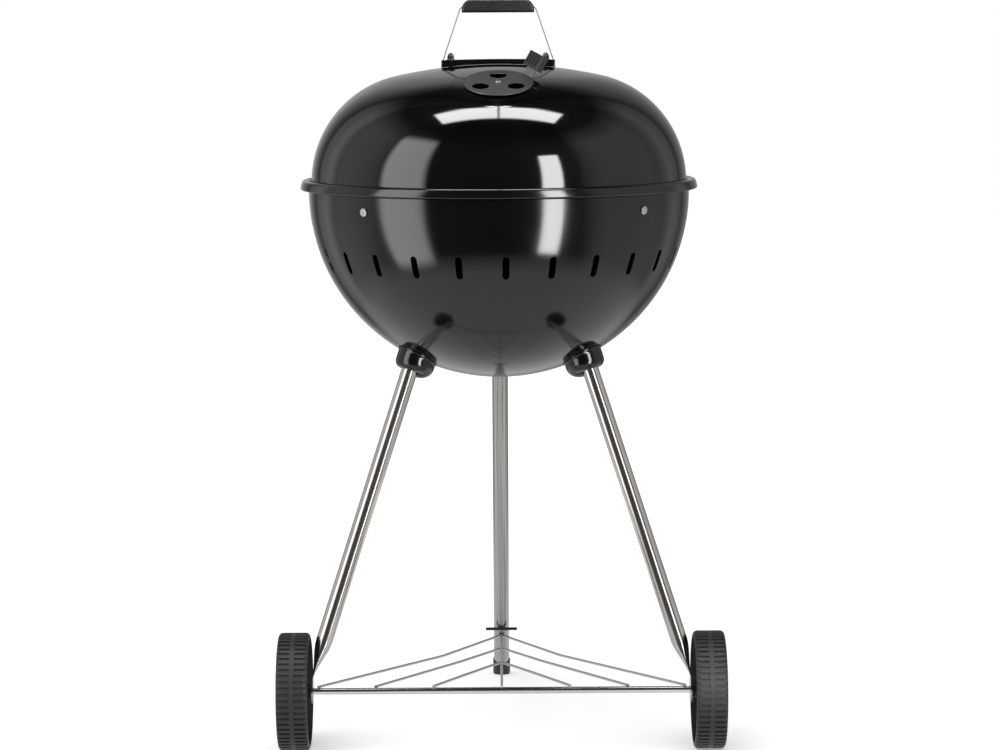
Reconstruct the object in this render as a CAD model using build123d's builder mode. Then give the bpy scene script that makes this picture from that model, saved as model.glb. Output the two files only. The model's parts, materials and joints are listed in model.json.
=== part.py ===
"""Kettle charcoal grill on a three-legged stand with two wheels.

Millimetres, +Z up, floor at z = 0, front towards -Y.  The kettle's own axis stands
kettle_y from the origin, so that the origin lies under the middle of the whole grill.
"""

import os
from math import asin, atan2, cos, degrees, hypot, radians, sin, sqrt, tan

from build123d import *

os.makedirs("parts", exist_ok=True)

# ---------------------------------------------------------------- driving dimensions
# enamelled kettle: sheet, rolled rim, ledge for the lid, bowl arcs
sheet = 1.2
mouth_radius = 287.4
rim_height = 840.5
rim_reach = 12.6
rim_band = 14.6
lip_corner = 3.3
hem_bend = 1.8
hem_flare = 16.0
shoulder_bend = 3.8
upper_neck = 1.4
ledge_bend = 2.4
lower_neck = 2.3
bowl_side_inset = 8.4
bowl_base_rise = 8.6

# air slots around the bowl
bowl_turn = 2.0
slot_count = 25
slot_width = 10.0
slot_height = 33.0
slot_drop = 115.5

# lid
lid_gap = 2.8
lid_skirt = 3.2
lid_shoulder_radius = 163.6
lid_crown_radius = 719.5

# vent on the front of the lid
vent_lean = 19.5
vent_seat_radius = 60.0
vent_seat_sink = 3.0
vent_seat_draft = 35.0
vent_disc_radius = 50.8
vent_hole_radius = 12.5
vent_hole_pitch = 29.7
vent_hole_count = 3
vent_sheet = 1.2
vent_tab_width = 24.0
vent_tab_turn = 58.0
vent_tab_bend = 54.0
vent_tab_neck = 12.6
vent_knob_width = 35.0
vent_knob_height = 23.0
vent_knob_depth = 13.0
vent_knob_groove = 2.0
vent_knob_grooves = 4
vent_rivet_radius = 2.5
vent_rivet_head = 4.6

# lid handle: bent strap, base bar, grip, bolts and cap nuts
strap_thickness = 1.5
strap_width = 20.0
strap_span = 83.0
strap_rise = 82.5
strap_lean = 19.0
strap_foot = 22.0
strap_foot_bend = 2.5
strap_side_bend = 6.0
strap_top_bend = 16.0
handle_base_height = 7.8
handle_base_droop = 1.5
handle_base_depth = 26.0
handle_lip = 1.8
handle_bolt_span = 71.5
handle_bolt_radius = 2.5
cap_nut_radius = 5.2
cap_nut_height = 10.0
washer_radius = 6.5
washer_thickness = 1.0
grip_half_length = 54.5
grip_shoulder = 16.0
grip_above_strap = 7.3
grip_below_strap = 13.0
grip_depth = 26.0
grip_edge = 4.0

# legs, their sockets and the foot
leg_diameter = 25.0
leg_wall = 1.3
leg_splay = 20.5
leg_spread = 120.0
socket_angle = 30.6
socket_lobe_angle = 25.4
socket_wall = 5.5
socket_length = 24.5
socket_seat = 2.2
socket_brim = 2.8
socket_floor = 6.0
socket_lobe_radius = 16.0
socket_lobe_length = 18.0
socket_web = 24.0
socket_bolt_radius = 3.0
socket_bolt_grip = 9.0
socket_bolt_head = 5.5
socket_washer_radius = 9.0
socket_washer_thickness = 1.5
socket_nut_radius = 5.8
socket_nut_height = 5.0
socket_round = 5.0
socket_lobe_round = 8.0
flat_start = 162.0
flat_top = 107.0
flat_width = 38.0
flat_thickness = 3.0
cap_wall = 1.5
cap_length = 24.0
cap_floor = 3.0
cap_facet = 2.5

# axle and wheels
axle_diameter = 10.0
wheel_radius = 87.4
tread_width = 46.0
tread_band = 7.0
tread_shoulder = 6.0
tread_wall = 8.0
groove_count = 60
groove_width = 4.0
groove_depth = 2.2
hub_stand = 1.8
hub_radius = 14.0
hub_tip_radius = 11.4
hub_recess = 8.0
wheel_web = 5.0
wheel_rib = 3.0
wheel_rib_count = 6
wheel_rib_recess = 9.0
axle_cap_radius = 9.0
axle_cap_length = 7.0
axle_cap_floor = 2.0

# wire rack between the legs, measured from the axle: for each V the distance of its ends
# from the leg plates, then side and depth of the bend; the two inner Vs end at rack_tips
rack_wire = 4.0
rack_fall = 2.6
rack_arms = ((8.5, 92.0, 280.0), (93.5, 62.0, 226.0), (179.5, 51.0, 108.0))
rack_tips = (350.0, 212.0)
rack_arm_bend = 120.0
rack_tip_bend = 3.0
rack_end = 3.0
rack_spine_rise = 1.0
rack_bar_width = 51.0
rack_bar_depth = 6.0
rack_bar_sheet = 2.0
rack_bar_rise = 4.8
rack_stem_width = 7.6
rack_stem_rise = 5.8
rack_stem_drop = 8.5
rack_screw_rise = 12.6
rack_screw_radius = 1.7

# grate brackets inside the bowl and their screws
bracket_count = 4
bracket_drop = 37.5
bracket_sheet = 2.0
bracket_width = 20.0
bracket_tail = 9.0
bracket_rise = 12.0
bracket_shelf = 20.0
bracket_screw_radius = 2.5
bracket_screw_head = 6.3
bracket_nut_radius = 4.6
bracket_nut_height = 4.0

# grates and the welded supports of the lower one
ring_wire = 6.0
bar_wire = 4.0
cooking_grate_room = 12.2
cooking_bar_pitch = 16.0
brace_share = 0.34
weld_sink = 0.5
loop_bar = 15
loop_width = 90.0
loop_rise = 26.0
loop_bend = 10.0
loop_wire = 5.0
charcoal_grate_room = 17.0
charcoal_bar_pitch = 24.0
support_drop = 172.0
support_width = 24.0
support_reach = 24.0
support_sheet = 2.0

# clearances
seat_gap = 0.3
fit_gap = 0.1
bearing_gap = 0.08
wheel_gap = 0.4

# ---------------------------------------------------------------- worked-out places
# bowl: a straight neck, a side arc under it, and a base arc tangent to that
rim_radius = mouth_radius + rim_reach
lip_z = rim_height - sheet
shoulder_z = lip_z - shoulder_bend
waist_z = shoulder_z - upper_neck - 4 * ledge_bend - lower_neck
bowl_side_radius = mouth_radius - bowl_side_inset
bowl_base_radius = bowl_side_radius + hypot(bowl_side_inset, bowl_base_rise)
bowl_centre_z = waist_z + bowl_base_rise
bowl_base_turn = degrees(atan2(bowl_base_rise, bowl_side_inset))

# lid: it stands on the rolled ledge inside the bowl's mouth
ledge_r = mouth_radius - ledge_bend
ledge_z = waist_z + lower_neck + 2 * ledge_bend
lid_radius = mouth_radius - sheet - lid_gap
lid_edge_z = ledge_z + sqrt((ledge_bend + sheet) ** 2 - (ledge_r - lid_radius) ** 2) + seat_gap
lid_side_r = lid_radius - lid_shoulder_radius
lid_side_z = lid_edge_z + lid_skirt
lid_crown_z = lid_side_z - sqrt((lid_crown_radius - lid_shoulder_radius) ** 2 - lid_side_r**2)
lid_top_z = lid_crown_z + lid_crown_radius
lid_shoulder_turn = degrees(atan2(lid_side_z - lid_crown_z, lid_side_r))

# legs leave the bowl's base arc and run down and outwards to the foot and the axle
slope = tan(radians(leg_splay))
socket_r = bowl_base_radius * sin(radians(socket_angle))
socket_z = bowl_centre_z - bowl_base_radius * cos(radians(socket_angle))
leg_radius = leg_diameter / 2
cap_radius = leg_radius + fit_gap + cap_wall
foot_z = cap_radius * sin(radians(leg_splay)) - cap_facet
rear_azimuth = 90.0
front_azimuth = rear_azimuth - leg_spread
axle_z = wheel_radius


def leg_reach(z):
    """Distance of a leg's centre line from the kettle's axis at height z."""
    return socket_r + (socket_z - z) * slope


front_y = leg_reach(axle_z) * sin(radians(front_azimuth))
front_reach = max(rim_radius, wheel_radius - front_y)
rear_reach = leg_reach(foot_z) + cap_radius * cos(radians(leg_splay))
kettle_y = (front_reach - rear_reach) / 2
axle_y = kettle_y + front_y
plate_x = leg_reach(flat_top) * cos(radians(front_azimuth))

kettle_axis = Axis((0, kettle_y, 0), (0, 0, 1))


def radial_plane(azimuth):
    """Upright plane through the kettle's axis: local x is the radius, local y the height."""
    turn = radians(azimuth)
    return Plane((0, kettle_y, 0), x_dir=(cos(turn), sin(turn), 0), z_dir=(sin(turn), -cos(turn), 0))


def level_plane(z):
    """Level plane at height z, centred on the kettle's axis."""
    return Plane((0, kettle_y, z))


def leg_plane(azimuth, along):
    """Plane across a leg, `along` below the point where its centre line leaves the bowl."""
    turn = radians(azimuth)
    lean = radians(leg_splay)
    r = socket_r + along * sin(lean)
    origin = (r * cos(turn), kettle_y + r * sin(turn), socket_z - along * cos(lean))
    down = (sin(lean) * cos(turn), sin(lean) * sin(turn), -cos(lean))
    return Plane(origin, x_dir=(-sin(turn), cos(turn), 0), z_dir=down)


def base_plane(azimuth, angle, radius):
    """Plane square to a radius of the bowl's base arc, `angle` from straight down."""
    turn = radians(azimuth)
    tilt = radians(angle)
    outward = (sin(tilt) * cos(turn), sin(tilt) * sin(turn), -cos(tilt))
    origin = (radius * outward[0], kettle_y + radius * outward[1], bowl_centre_z + radius * outward[2])
    return Plane(origin, x_dir=(-sin(turn), cos(turn), 0), z_dir=outward)


def wall_radius(z, inset):
    """Radius of the bowl's side arc at height z, `inset` inside its outer skin."""
    return bowl_side_inset + sqrt((bowl_side_radius - inset) ** 2 - (waist_z - z) ** 2)


def wall_plane(azimuth, z, inset):
    """Plane lying on the bowl's side arc at height z: local y runs up the wall, z outwards."""
    turn = radians(azimuth)
    lean = asin((waist_z - z) / bowl_side_radius)
    r = bowl_side_inset + (bowl_side_radius - inset) * cos(lean)
    origin = (r * cos(turn), kettle_y + r * sin(turn), waist_z - (bowl_side_radius - inset) * sin(lean))
    outward = (cos(lean) * cos(turn), cos(lean) * sin(turn), -sin(lean))
    return Plane(origin, x_dir=(-sin(turn), cos(turn), 0), z_dir=outward)


def crown_height(r, inset):
    """Height of the lid's crown arc at radius r, `inset` inside its outer skin."""
    return lid_crown_z + sqrt((lid_crown_radius - inset) ** 2 - r**2)


bracket_z = rim_height - bracket_drop
bracket_azimuths = [bowl_turn - 45 + 360 / bracket_count * step for step in range(bracket_count)]
leg_azimuths = {"rear": rear_azimuth, "front_right": front_azimuth, "front_left": 180 - front_azimuth}


def save(piece, label):
    """Label a finished sub-part and write its STEP file."""
    piece.part.label = label
    export_step(piece.part, f"parts/{label}.step")


# ---------------------------------------------------------------- bowl
# One deep-drawn sheet: base arc, side arc, neck with the rolled ledge, lip and hem.
with BuildPart() as bowl:
    with BuildSketch(radial_plane(0)):
        with BuildLine():
            CenterArc((0, bowl_centre_z), bowl_base_radius, -90, 90 - bowl_base_turn)
            skin_side = CenterArc(
                (bowl_side_inset, waist_z), bowl_side_radius, -bowl_base_turn, bowl_base_turn
            )
            skin_neck = Line(skin_side @ 1, skin_side @ 1 + Vector(0, lower_neck))
            ledge_in = JernArc(skin_neck @ 1, (0, 1), ledge_bend, 90)
            ledge_nose = JernArc(ledge_in @ 1, (-1, 0), ledge_bend, -180)
            ledge_out = JernArc(ledge_nose @ 1, (1, 0), ledge_bend, 90)
            skin_top = Line(ledge_out @ 1, ledge_out @ 1 + Vector(0, upper_neck))
            shoulder = JernArc(skin_top @ 1, (0, 1), shoulder_bend, -90)
            fall = radians(90 - hem_flare)
            hem_drop = rim_band - 2 * sheet - lip_corner * (1 - cos(fall)) - hem_bend * (1 + cos(fall))
            hem_run = hem_drop / sin(fall)
            hem_reach = lip_corner * sin(fall) + hem_run * cos(fall) + hem_bend * (1 - sin(fall))
            lip_run = rim_radius - sheet - (mouth_radius + shoulder_bend) - hem_reach
            lip = Line(shoulder @ 1, shoulder @ 1 + Vector(lip_run, 0))
            corner = JernArc(lip @ 1, (1, 0), lip_corner, hem_flare - 90)
            band = Line(corner @ 1, corner @ 1 + (corner % 1) * hem_run)
            hem = JernArc(band @ 1, band % 1, hem_bend, -120)
            offset(amount=sheet, side=Side.LEFT)
        make_face()
    revolve(axis=kettle_axis)
    slot_z = rim_height - slot_drop
    slot_r = wall_radius(slot_z, 0)
    for step in range(slot_count):
        turn = radians(-90 + bowl_turn + 360 / slot_count * step)
        out = (cos(turn), sin(turn), 0)
        place = (slot_r * out[0], kettle_y + slot_r * out[1], slot_z)
        with BuildSketch(Plane(place, x_dir=(0, 0, 1), z_dir=out)):
            SlotOverall(slot_height, slot_width)
        extrude(amount=2 * slot_width, both=True, mode=Mode.SUBTRACT)
    for azimuth in bracket_azimuths:
        with BuildSketch(wall_plane(azimuth, bracket_z, 0)):
            Circle(bracket_screw_radius + fit_gap)
        extrude(amount=2 * sheet, both=True, mode=Mode.SUBTRACT)
    for azimuth in leg_azimuths.values():
        with BuildSketch(base_plane(azimuth, socket_lobe_angle, bowl_base_radius)):
            Circle(socket_bolt_radius + fit_gap)
        extrude(amount=2 * sheet, both=True, mode=Mode.SUBTRACT)
save(bowl, "bowl")


# ---------------------------------------------------------------- lid
# The vent lies square to the shoulder arc, on a flat round seat: the dome's cap is pressed
# flat inside it, and in front and behind the seat stands proud on a drafted wall.
vent_lean_turn = radians(vent_lean)
vent_normal = Vector(0, -sin(vent_lean_turn), cos(vent_lean_turn))
vent_r = lid_side_r + lid_shoulder_radius * sin(vent_lean_turn)
vent_z = lid_side_z + lid_shoulder_radius * cos(vent_lean_turn)
vent_seat = Plane(
    Vector(0, kettle_y - vent_r, vent_z) - vent_normal * vent_seat_sink, x_dir=(1, 0, 0), z_dir=vent_normal
)


def filled_dome(inset):
    """The lid's dome with its pressed vent seat, filled, `inset` inside the outer skin."""
    with BuildPart() as dome:
        with BuildSketch(radial_plane(0)):
            with BuildLine():
                skirt = Line((lid_radius - inset, lid_edge_z), (lid_radius - inset, lid_side_z))
                CenterArc((lid_side_r, lid_side_z), lid_shoulder_radius - inset, 0, lid_shoulder_turn)
                crown = CenterArc(
                    (0, lid_crown_z), lid_crown_radius - inset, lid_shoulder_turn, 90 - lid_shoulder_turn
                )
                Polyline(crown @ 1, (0, lid_edge_z), skirt @ 0)
            make_face()
        revolve(axis=kettle_axis)
        corner_shift = inset * (1 - sin(radians(vent_seat_draft))) / cos(radians(vent_seat_draft))
        with BuildSketch(vent_seat.offset(-inset)):
            Circle(vent_seat_radius - corner_shift)
        extrude(amount=-5 * vent_seat_sink, taper=-vent_seat_draft)
        with BuildSketch(vent_seat.offset(-inset)):
            Circle(vent_seat_radius)
        extrude(amount=4 * vent_seat_sink, mode=Mode.SUBTRACT)
    return dome.part


with BuildPart() as lid:
    add(filled_dome(0))
    add(filled_dome(sheet), mode=Mode.SUBTRACT)
    with BuildSketch(vent_seat):
        with PolarLocations(vent_hole_pitch, vent_hole_count, start_angle=90):
            Circle(vent_hole_radius)
        Circle(vent_rivet_radius + fit_gap)
    extrude(amount=2 * sheet, both=True, mode=Mode.SUBTRACT)
    with BuildSketch(level_plane(lid_top_z)):
        with GridLocations(2 * handle_bolt_span, 1, 2, 1):
            Circle(handle_bolt_radius + fit_gap)
    extrude(amount=-vent_seat_radius, mode=Mode.SUBTRACT)
save(lid, "lid")

# ---------------------------------------------------------------- lid vent
vent_disc_low = vent_seat.offset(seat_gap)
with BuildPart() as vent_disc:
    with BuildSketch(vent_disc_low):
        Circle(vent_disc_radius)
        with PolarLocations(vent_hole_pitch, vent_hole_count, start_angle=90):
            Circle(vent_hole_radius, mode=Mode.SUBTRACT)
        Circle(vent_rivet_radius + bearing_gap, mode=Mode.SUBTRACT)
    extrude(amount=vent_sheet)
    tab_turn = radians(90 - vent_tab_turn)
    tab_out = vent_seat.x_dir * cos(tab_turn) + vent_seat.y_dir * sin(tab_turn)
    tab_plane = Plane(
        vent_disc_low.offset(vent_sheet / 2).origin, x_dir=tab_out, z_dir=tab_out.cross(vent_normal)
    )
    tab_up = Vector(cos(radians(vent_tab_bend)), sin(radians(vent_tab_bend)))
    tab_corner = Vector(vent_disc_radius, 0)
    tab_length = vent_tab_neck + vent_knob_height - vent_knob_groove
    with BuildSketch(tab_plane):
        with BuildLine():
            FilletPolyline(
                tab_corner - Vector(vent_tab_width / 4, 0),
                tab_corner,
                tab_corner + tab_up * tab_length,
                radius=vent_sheet,
            )
        trace(line_width=vent_sheet)
    extrude(amount=vent_tab_width / 2, both=True)
save(vent_disc, "vent_disc")

knob_up = tab_plane.x_dir * tab_up.X + tab_plane.y_dir * tab_up.Y
knob_origin = tab_plane.from_local_coords(tab_corner + tab_up * vent_tab_neck)
knob_plane = Plane(knob_origin, x_dir=tab_plane.z_dir, z_dir=knob_up)
with BuildPart() as vent_knob:
    with BuildSketch(knob_plane):
        RectangleRounded(vent_knob_width, vent_knob_depth, vent_knob_groove)
    extrude(amount=vent_knob_height)
    fillet(vent_knob.faces().sort_by(Axis(knob_origin, knob_up))[-1].edges(), vent_knob_groove / 2)
    groove_pitch = vent_knob_width / (vent_knob_grooves + 1)
    with BuildSketch(knob_plane.offset(2 * vent_knob_groove)):
        with GridLocations(groove_pitch, vent_knob_depth, vent_knob_grooves, 2):
            Rectangle(groove_pitch / 2, vent_knob_groove)
    extrude(amount=vent_knob_height, mode=Mode.SUBTRACT)
    with BuildSketch(knob_plane):
        Rectangle(vent_tab_width + 2 * fit_gap, vent_sheet + 2 * fit_gap)
    extrude(amount=vent_knob_height - vent_knob_groove + fit_gap, mode=Mode.SUBTRACT)
save(vent_knob, "vent_knob")

with BuildPart() as vent_rivet:
    rivet_top = 2 * seat_gap + vent_sheet
    with BuildSketch(vent_seat.offset(rivet_top)):
        Circle(vent_rivet_head)
    extrude(amount=vent_rivet_radius)
    fillet(vent_rivet.edges().sort_by(Axis(vent_seat.origin, vent_normal))[-1], vent_rivet_radius - fit_gap)
    with BuildSketch(vent_seat.offset(-sheet - fit_gap)):
        Circle(vent_rivet_head)
    extrude(amount=-vent_rivet_radius / 2)
    with BuildSketch(vent_seat.offset(-sheet - fit_gap)):
        Circle(vent_rivet_radius)
    extrude(amount=sheet + fit_gap + rivet_top)
save(vent_rivet, "vent_rivet")

# ---------------------------------------------------------------- lid handle
base_top_z = lid_top_z + handle_base_height
base_end_z = base_top_z - handle_base_droop
base_half = strap_span + strap_thickness / 2 + fit_gap + handle_lip
strap_top_z = base_top_z + strap_rise
foot_x = strap_span - strap_foot
foot_z_lift = strap_thickness / 2 + seat_gap


def handle_strap(width, thickness):
    """The bent strap of the lid handle, at a width and a thickness around its centre line."""
    half = [
        (foot_x, crown_height(foot_x, 0) + foot_z_lift),
        (strap_span, crown_height(strap_span, 0) + foot_z_lift),
        (strap_span, base_end_z),
        (strap_span - strap_rise * tan(radians(strap_lean)), strap_top_z),
    ]
    other = [(-x, z) for x, z in reversed(half)]
    bends = (strap_foot_bend, strap_side_bend, strap_top_bend)
    with BuildPart() as strap:
        with BuildSketch(radial_plane(0)):
            with BuildLine():
                FilletPolyline(*half, *other, radius=[*bends, *reversed(bends)])
            trace(line_width=thickness)
        extrude(amount=width / 2, both=True)
        with BuildSketch(level_plane(lid_top_z)):
            with GridLocations(2 * handle_bolt_span, 1, 2, 1):
                Circle(handle_bolt_radius + fit_gap)
        extrude(amount=strap_foot / 2, both=True, mode=Mode.SUBTRACT)
    return strap.part


strap_room = handle_strap(strap_width + 2 * fit_gap, strap_thickness + 2 * fit_gap)

with BuildPart() as lid_handle_strap:
    add(handle_strap(strap_width, strap_thickness))
save(lid_handle_strap, "lid_handle_strap")

with BuildPart() as lid_handle_base:
    base_low_z = crown_height(base_half, 0) + seat_gap
    with BuildSketch(radial_plane(0)):
        with BuildLine():
            under = ThreePointArc(
                (-base_half, base_low_z), (0, lid_top_z + seat_gap), (base_half, base_low_z)
            )
            upper = ThreePointArc((base_half, base_end_z), (0, base_top_z), (-base_half, base_end_z))
            Line(under @ 1, upper @ 0)
            Line(upper @ 1, under @ 0)
        make_face()
    extrude(amount=handle_base_depth / 2, both=True)
    fillet(lid_handle_base.edges().filter_by(Axis.Z), handle_lip)
    with BuildSketch(level_plane(base_end_z)):
        with GridLocations(2 * handle_bolt_span, 1, 2, 1):
            Circle(washer_radius + fit_gap)
    extrude(amount=handle_base_droop, mode=Mode.SUBTRACT)
    with BuildSketch(level_plane(lid_top_z)):
        with GridLocations(2 * handle_bolt_span, 1, 2, 1):
            Circle(handle_bolt_radius + fit_gap)
    extrude(amount=strap_foot / 2, both=True, mode=Mode.SUBTRACT)
    add(strap_room, mode=Mode.SUBTRACT)
save(lid_handle_base, "lid_handle_base")

with BuildPart() as lid_handle_washers:
    with BuildSketch(level_plane(base_end_z)):
        with GridLocations(2 * handle_bolt_span, 1, 2, 1):
            Circle(washer_radius)
            Circle(handle_bolt_radius + fit_gap, mode=Mode.SUBTRACT)
    extrude(amount=washer_thickness)
save(lid_handle_washers, "lid_handle_washers")

cap_nut_z = base_end_z + washer_thickness
cap_nut_dome = cap_nut_radius * cos(radians(30))
cap_nut_hex = cap_nut_height - cap_nut_dome
with BuildPart() as lid_handle_nuts:
    with BuildSketch(level_plane(cap_nut_z)):
        with GridLocations(2 * handle_bolt_span, 1, 2, 1):
            RegularPolygon(cap_nut_radius, 6)
    extrude(amount=cap_nut_hex)
    with Locations(level_plane(cap_nut_z + cap_nut_hex)):
        with GridLocations(2 * handle_bolt_span, 1, 2, 1):
            Sphere(cap_nut_dome)
    with BuildSketch(level_plane(cap_nut_z)):
        with GridLocations(2 * handle_bolt_span, 1, 2, 1):
            Circle(cap_nut_radius)
    extrude(amount=-cap_nut_height, mode=Mode.SUBTRACT)
    with BuildSketch(level_plane(cap_nut_z)):
        with GridLocations(2 * handle_bolt_span, 1, 2, 1):
            Circle(handle_bolt_radius + fit_gap)
    extrude(amount=cap_nut_hex, mode=Mode.SUBTRACT)
save(lid_handle_nuts, "lid_handle_nuts")

with BuildPart() as lid_handle_bolts:
    handle_bolt_head = 2 * handle_bolt_radius
    head_z = crown_height(handle_bolt_span + handle_bolt_head, sheet) - fit_gap
    with BuildSketch(level_plane(head_z)):
        with GridLocations(2 * handle_bolt_span, 1, 2, 1):
            Circle(handle_bolt_head)
    extrude(amount=-handle_bolt_radius)
    fillet(lid_handle_bolts.edges().group_by(Axis.Z)[0], handle_bolt_radius / 2)
    with BuildSketch(level_plane(head_z)):
        with GridLocations(2 * handle_bolt_span, 1, 2, 1):
            Circle(handle_bolt_radius)
    extrude(amount=cap_nut_z + cap_nut_hex - fit_gap - head_z)
save(lid_handle_bolts, "lid_handle_bolts")

with BuildPart() as lid_handle_grip:
    grip_low_z = strap_top_z - grip_below_strap
    grip_high_z = strap_top_z + grip_above_strap
    side = (grip_half_length, grip_high_z - grip_shoulder)
    flat = (grip_half_length - grip_shoulder, grip_high_z)
    with BuildSketch(radial_plane(0)):
        with BuildLine():
            low = Line((-grip_half_length, grip_low_z), (grip_half_length, grip_low_z))
            Line(low @ 1, side)
            RadiusArc(side, flat, -grip_shoulder)
            Line(flat, (-flat[0], flat[1]))
            RadiusArc((-flat[0], flat[1]), (-side[0], side[1]), -grip_shoulder)
            Line((-side[0], side[1]), low @ 0)
        make_face()
    extrude(amount=grip_depth / 2, both=True)
    fillet(lid_handle_grip.faces().filter_by(Axis.Y).edges(), grip_edge)
    add(strap_room, mode=Mode.SUBTRACT)
save(lid_handle_grip, "lid_handle_grip")

# ---------------------------------------------------------------- legs
flat_along = (socket_z - flat_start) / cos(radians(leg_splay))
foot_along = (socket_z - foot_z) / cos(radians(leg_splay))
plate_y = kettle_y + leg_reach(flat_top) * sin(radians(front_azimuth))
flat_shares = (0, 1 / 3, 2 / 3, 1)
plate_side = Plane((plate_x, axle_y, axle_z), x_dir=(0, 1, 0), z_dir=(1, 0, 0))


def flattening(share, inset):
    """Section of a front leg at a share of the way from round tube to flat plate."""
    tube = leg_plane(front_azimuth, flat_along)
    ease = share * share * (3 - 2 * share)
    across = leg_diameter + (flat_width - leg_diameter) * ease - 2 * inset
    through = leg_diameter + (flat_thickness - leg_diameter) * ease - 2 * inset
    origin = tube.origin + (Vector(plate_x, plate_y, flat_top) - tube.origin) * share
    down = tube.z_dir * (1 - share) + Vector(0, 0, -1) * share
    side = Vector(0, 1, 0) - down * (down.Y / down.dot(down))
    with BuildSketch(Plane(origin, x_dir=side, z_dir=down)) as section:
        Ellipse(across / 2, through / 2)
    return section.sketch


with BuildPart() as leg_front_right:
    with BuildSketch(leg_plane(front_azimuth, socket_floor)):
        Circle(leg_radius)
    extrude(amount=flat_along - socket_floor)
    loft([flattening(share, 0) for share in flat_shares])
    with BuildSketch(plate_side):
        with BuildLine():
            Line((plate_y - axle_y, flat_top - axle_z), (0, 0))
        trace(line_width=flat_width)
        Circle(flat_width / 2)
    extrude(amount=flat_thickness / 2, both=True)
    with BuildSketch(leg_plane(front_azimuth, socket_floor)):
        Circle(leg_radius - leg_wall)
    extrude(amount=flat_along - socket_floor, mode=Mode.SUBTRACT)
    loft([flattening(share, leg_wall) for share in flat_shares[:-1]], mode=Mode.SUBTRACT)
    with BuildSketch(plate_side):
        Circle(axle_diameter / 2 + fit_gap)
    extrude(amount=leg_diameter, both=True, mode=Mode.SUBTRACT)
save(leg_front_right, "leg_front_right")

with BuildPart() as leg_front_left:
    add(leg_front_right.part.mirror(Plane.YZ))
save(leg_front_left, "leg_front_left")

# Plane on the front line of the rear leg at the rack's screw: local y runs up the leg.
rack_low_z = axle_z + axle_diameter / 2 + rack_wire / 2 + fit_gap
rack_slope = tan(radians(rack_fall))
rack_stand = leg_radius + fit_gap + rack_bar_sheet + seat_gap + rack_wire / 2
rack_reach = (leg_reach(rack_low_z) + kettle_y - axle_y - rack_stand / cos(radians(leg_splay))) / (
    1 - rack_slope * slope
)
rack_screw_z = rack_low_z - rack_reach * rack_slope + rack_screw_rise
leg_lean = radians(leg_splay)
leg_front = Vector(0, -cos(leg_lean), -sin(leg_lean))
rack_screw_centre = Vector(0, kettle_y + leg_reach(rack_screw_z), rack_screw_z)
rack_face = Plane(rack_screw_centre + leg_front * (leg_radius + fit_gap), x_dir=(1, 0, 0), z_dir=leg_front)

with BuildPart() as leg_rear:
    with BuildSketch(leg_plane(rear_azimuth, socket_floor)):
        Circle(leg_radius)
        Circle(leg_radius - leg_wall, mode=Mode.SUBTRACT)
    extrude(amount=foot_along - cap_floor - socket_floor)
    with BuildSketch(rack_face):
        Circle(rack_screw_radius + fit_gap)
    extrude(amount=-leg_radius, mode=Mode.SUBTRACT)
save(leg_rear, "leg_rear")

with BuildPart() as foot_cap:
    with BuildSketch(leg_plane(rear_azimuth, foot_along)):
        Circle(cap_radius)
    extrude(amount=-cap_length)
    with BuildSketch(leg_plane(rear_azimuth, foot_along - cap_floor)):
        Circle(leg_radius + fit_gap)
    extrude(amount=-cap_length, mode=Mode.SUBTRACT)
    split(bisect_by=Plane.XY, keep=Keep.TOP)
save(foot_cap, "foot_cap")

# ---------------------------------------------------------------- leg sockets
# Each moulding has a seat on the bowl, a barrel for the leg and a lobe whose bolt comes
# through the bowl and draws the seat up with a nut in a hexagonal pocket.
barrel_radius = leg_radius + fit_gap + socket_wall
lobe_plane = base_plane(rear_azimuth, socket_lobe_angle, bowl_base_radius)
barrel_plane = leg_plane(rear_azimuth, 0)
lobe_place = barrel_plane.to_local_coords(lobe_plane.origin)


def round_post(plane, radius, length, end_round):
    """Cylinder from just inside the bowl's skin to `length` below it, with a rounded end."""
    with BuildPart() as post:
        with BuildSketch(plane.offset(-socket_floor)):
            Circle(radius)
        extrude(amount=socket_floor + length)
        fillet(post.edges().sort_by(Axis(plane.origin, plane.z_dir))[-1], end_round)
    return post.part


with BuildPart() as socket_blank:
    with BuildSketch(barrel_plane.offset(-socket_length)):
        Circle(barrel_radius + socket_brim)
        with Locations((lobe_place.X, lobe_place.Y)):
            Circle(socket_lobe_radius + socket_brim)
        make_hull()
    extrude(amount=2 * socket_length)
    with Locations((0, kettle_y, bowl_centre_z)):
        Sphere(bowl_base_radius + fit_gap + socket_seat, mode=Mode.INTERSECT)
    with BuildSketch(barrel_plane.offset(-socket_floor)):
        with Locations((0, lobe_place.Y / 2)):
            Rectangle(socket_web, -lobe_place.Y)
    extrude(amount=socket_floor + socket_length - socket_wall)
    add(round_post(barrel_plane, barrel_radius, socket_length, socket_round))
    add(round_post(lobe_plane, socket_lobe_radius, socket_lobe_length, socket_lobe_round))
    with Locations((0, kettle_y, bowl_centre_z)):
        Sphere(bowl_base_radius + fit_gap, mode=Mode.SUBTRACT)
    with BuildSketch(barrel_plane.offset(socket_floor - fit_gap)):
        Circle(leg_radius + fit_gap)
    extrude(amount=socket_length, mode=Mode.SUBTRACT)
    with BuildSketch(lobe_plane):
        Circle(socket_bolt_radius + fit_gap)
    extrude(amount=socket_lobe_length, mode=Mode.SUBTRACT)
    with BuildSketch(lobe_plane.offset(socket_bolt_grip)):
        RegularPolygon(socket_nut_radius + fit_gap, 6)
    extrude(amount=socket_lobe_length, mode=Mode.SUBTRACT)

for place, azimuth in leg_azimuths.items():
    with BuildPart() as socket:
        add(socket_blank.part.rotate(kettle_axis, azimuth - rear_azimuth))
    save(socket, f"socket_{place}")

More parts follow.
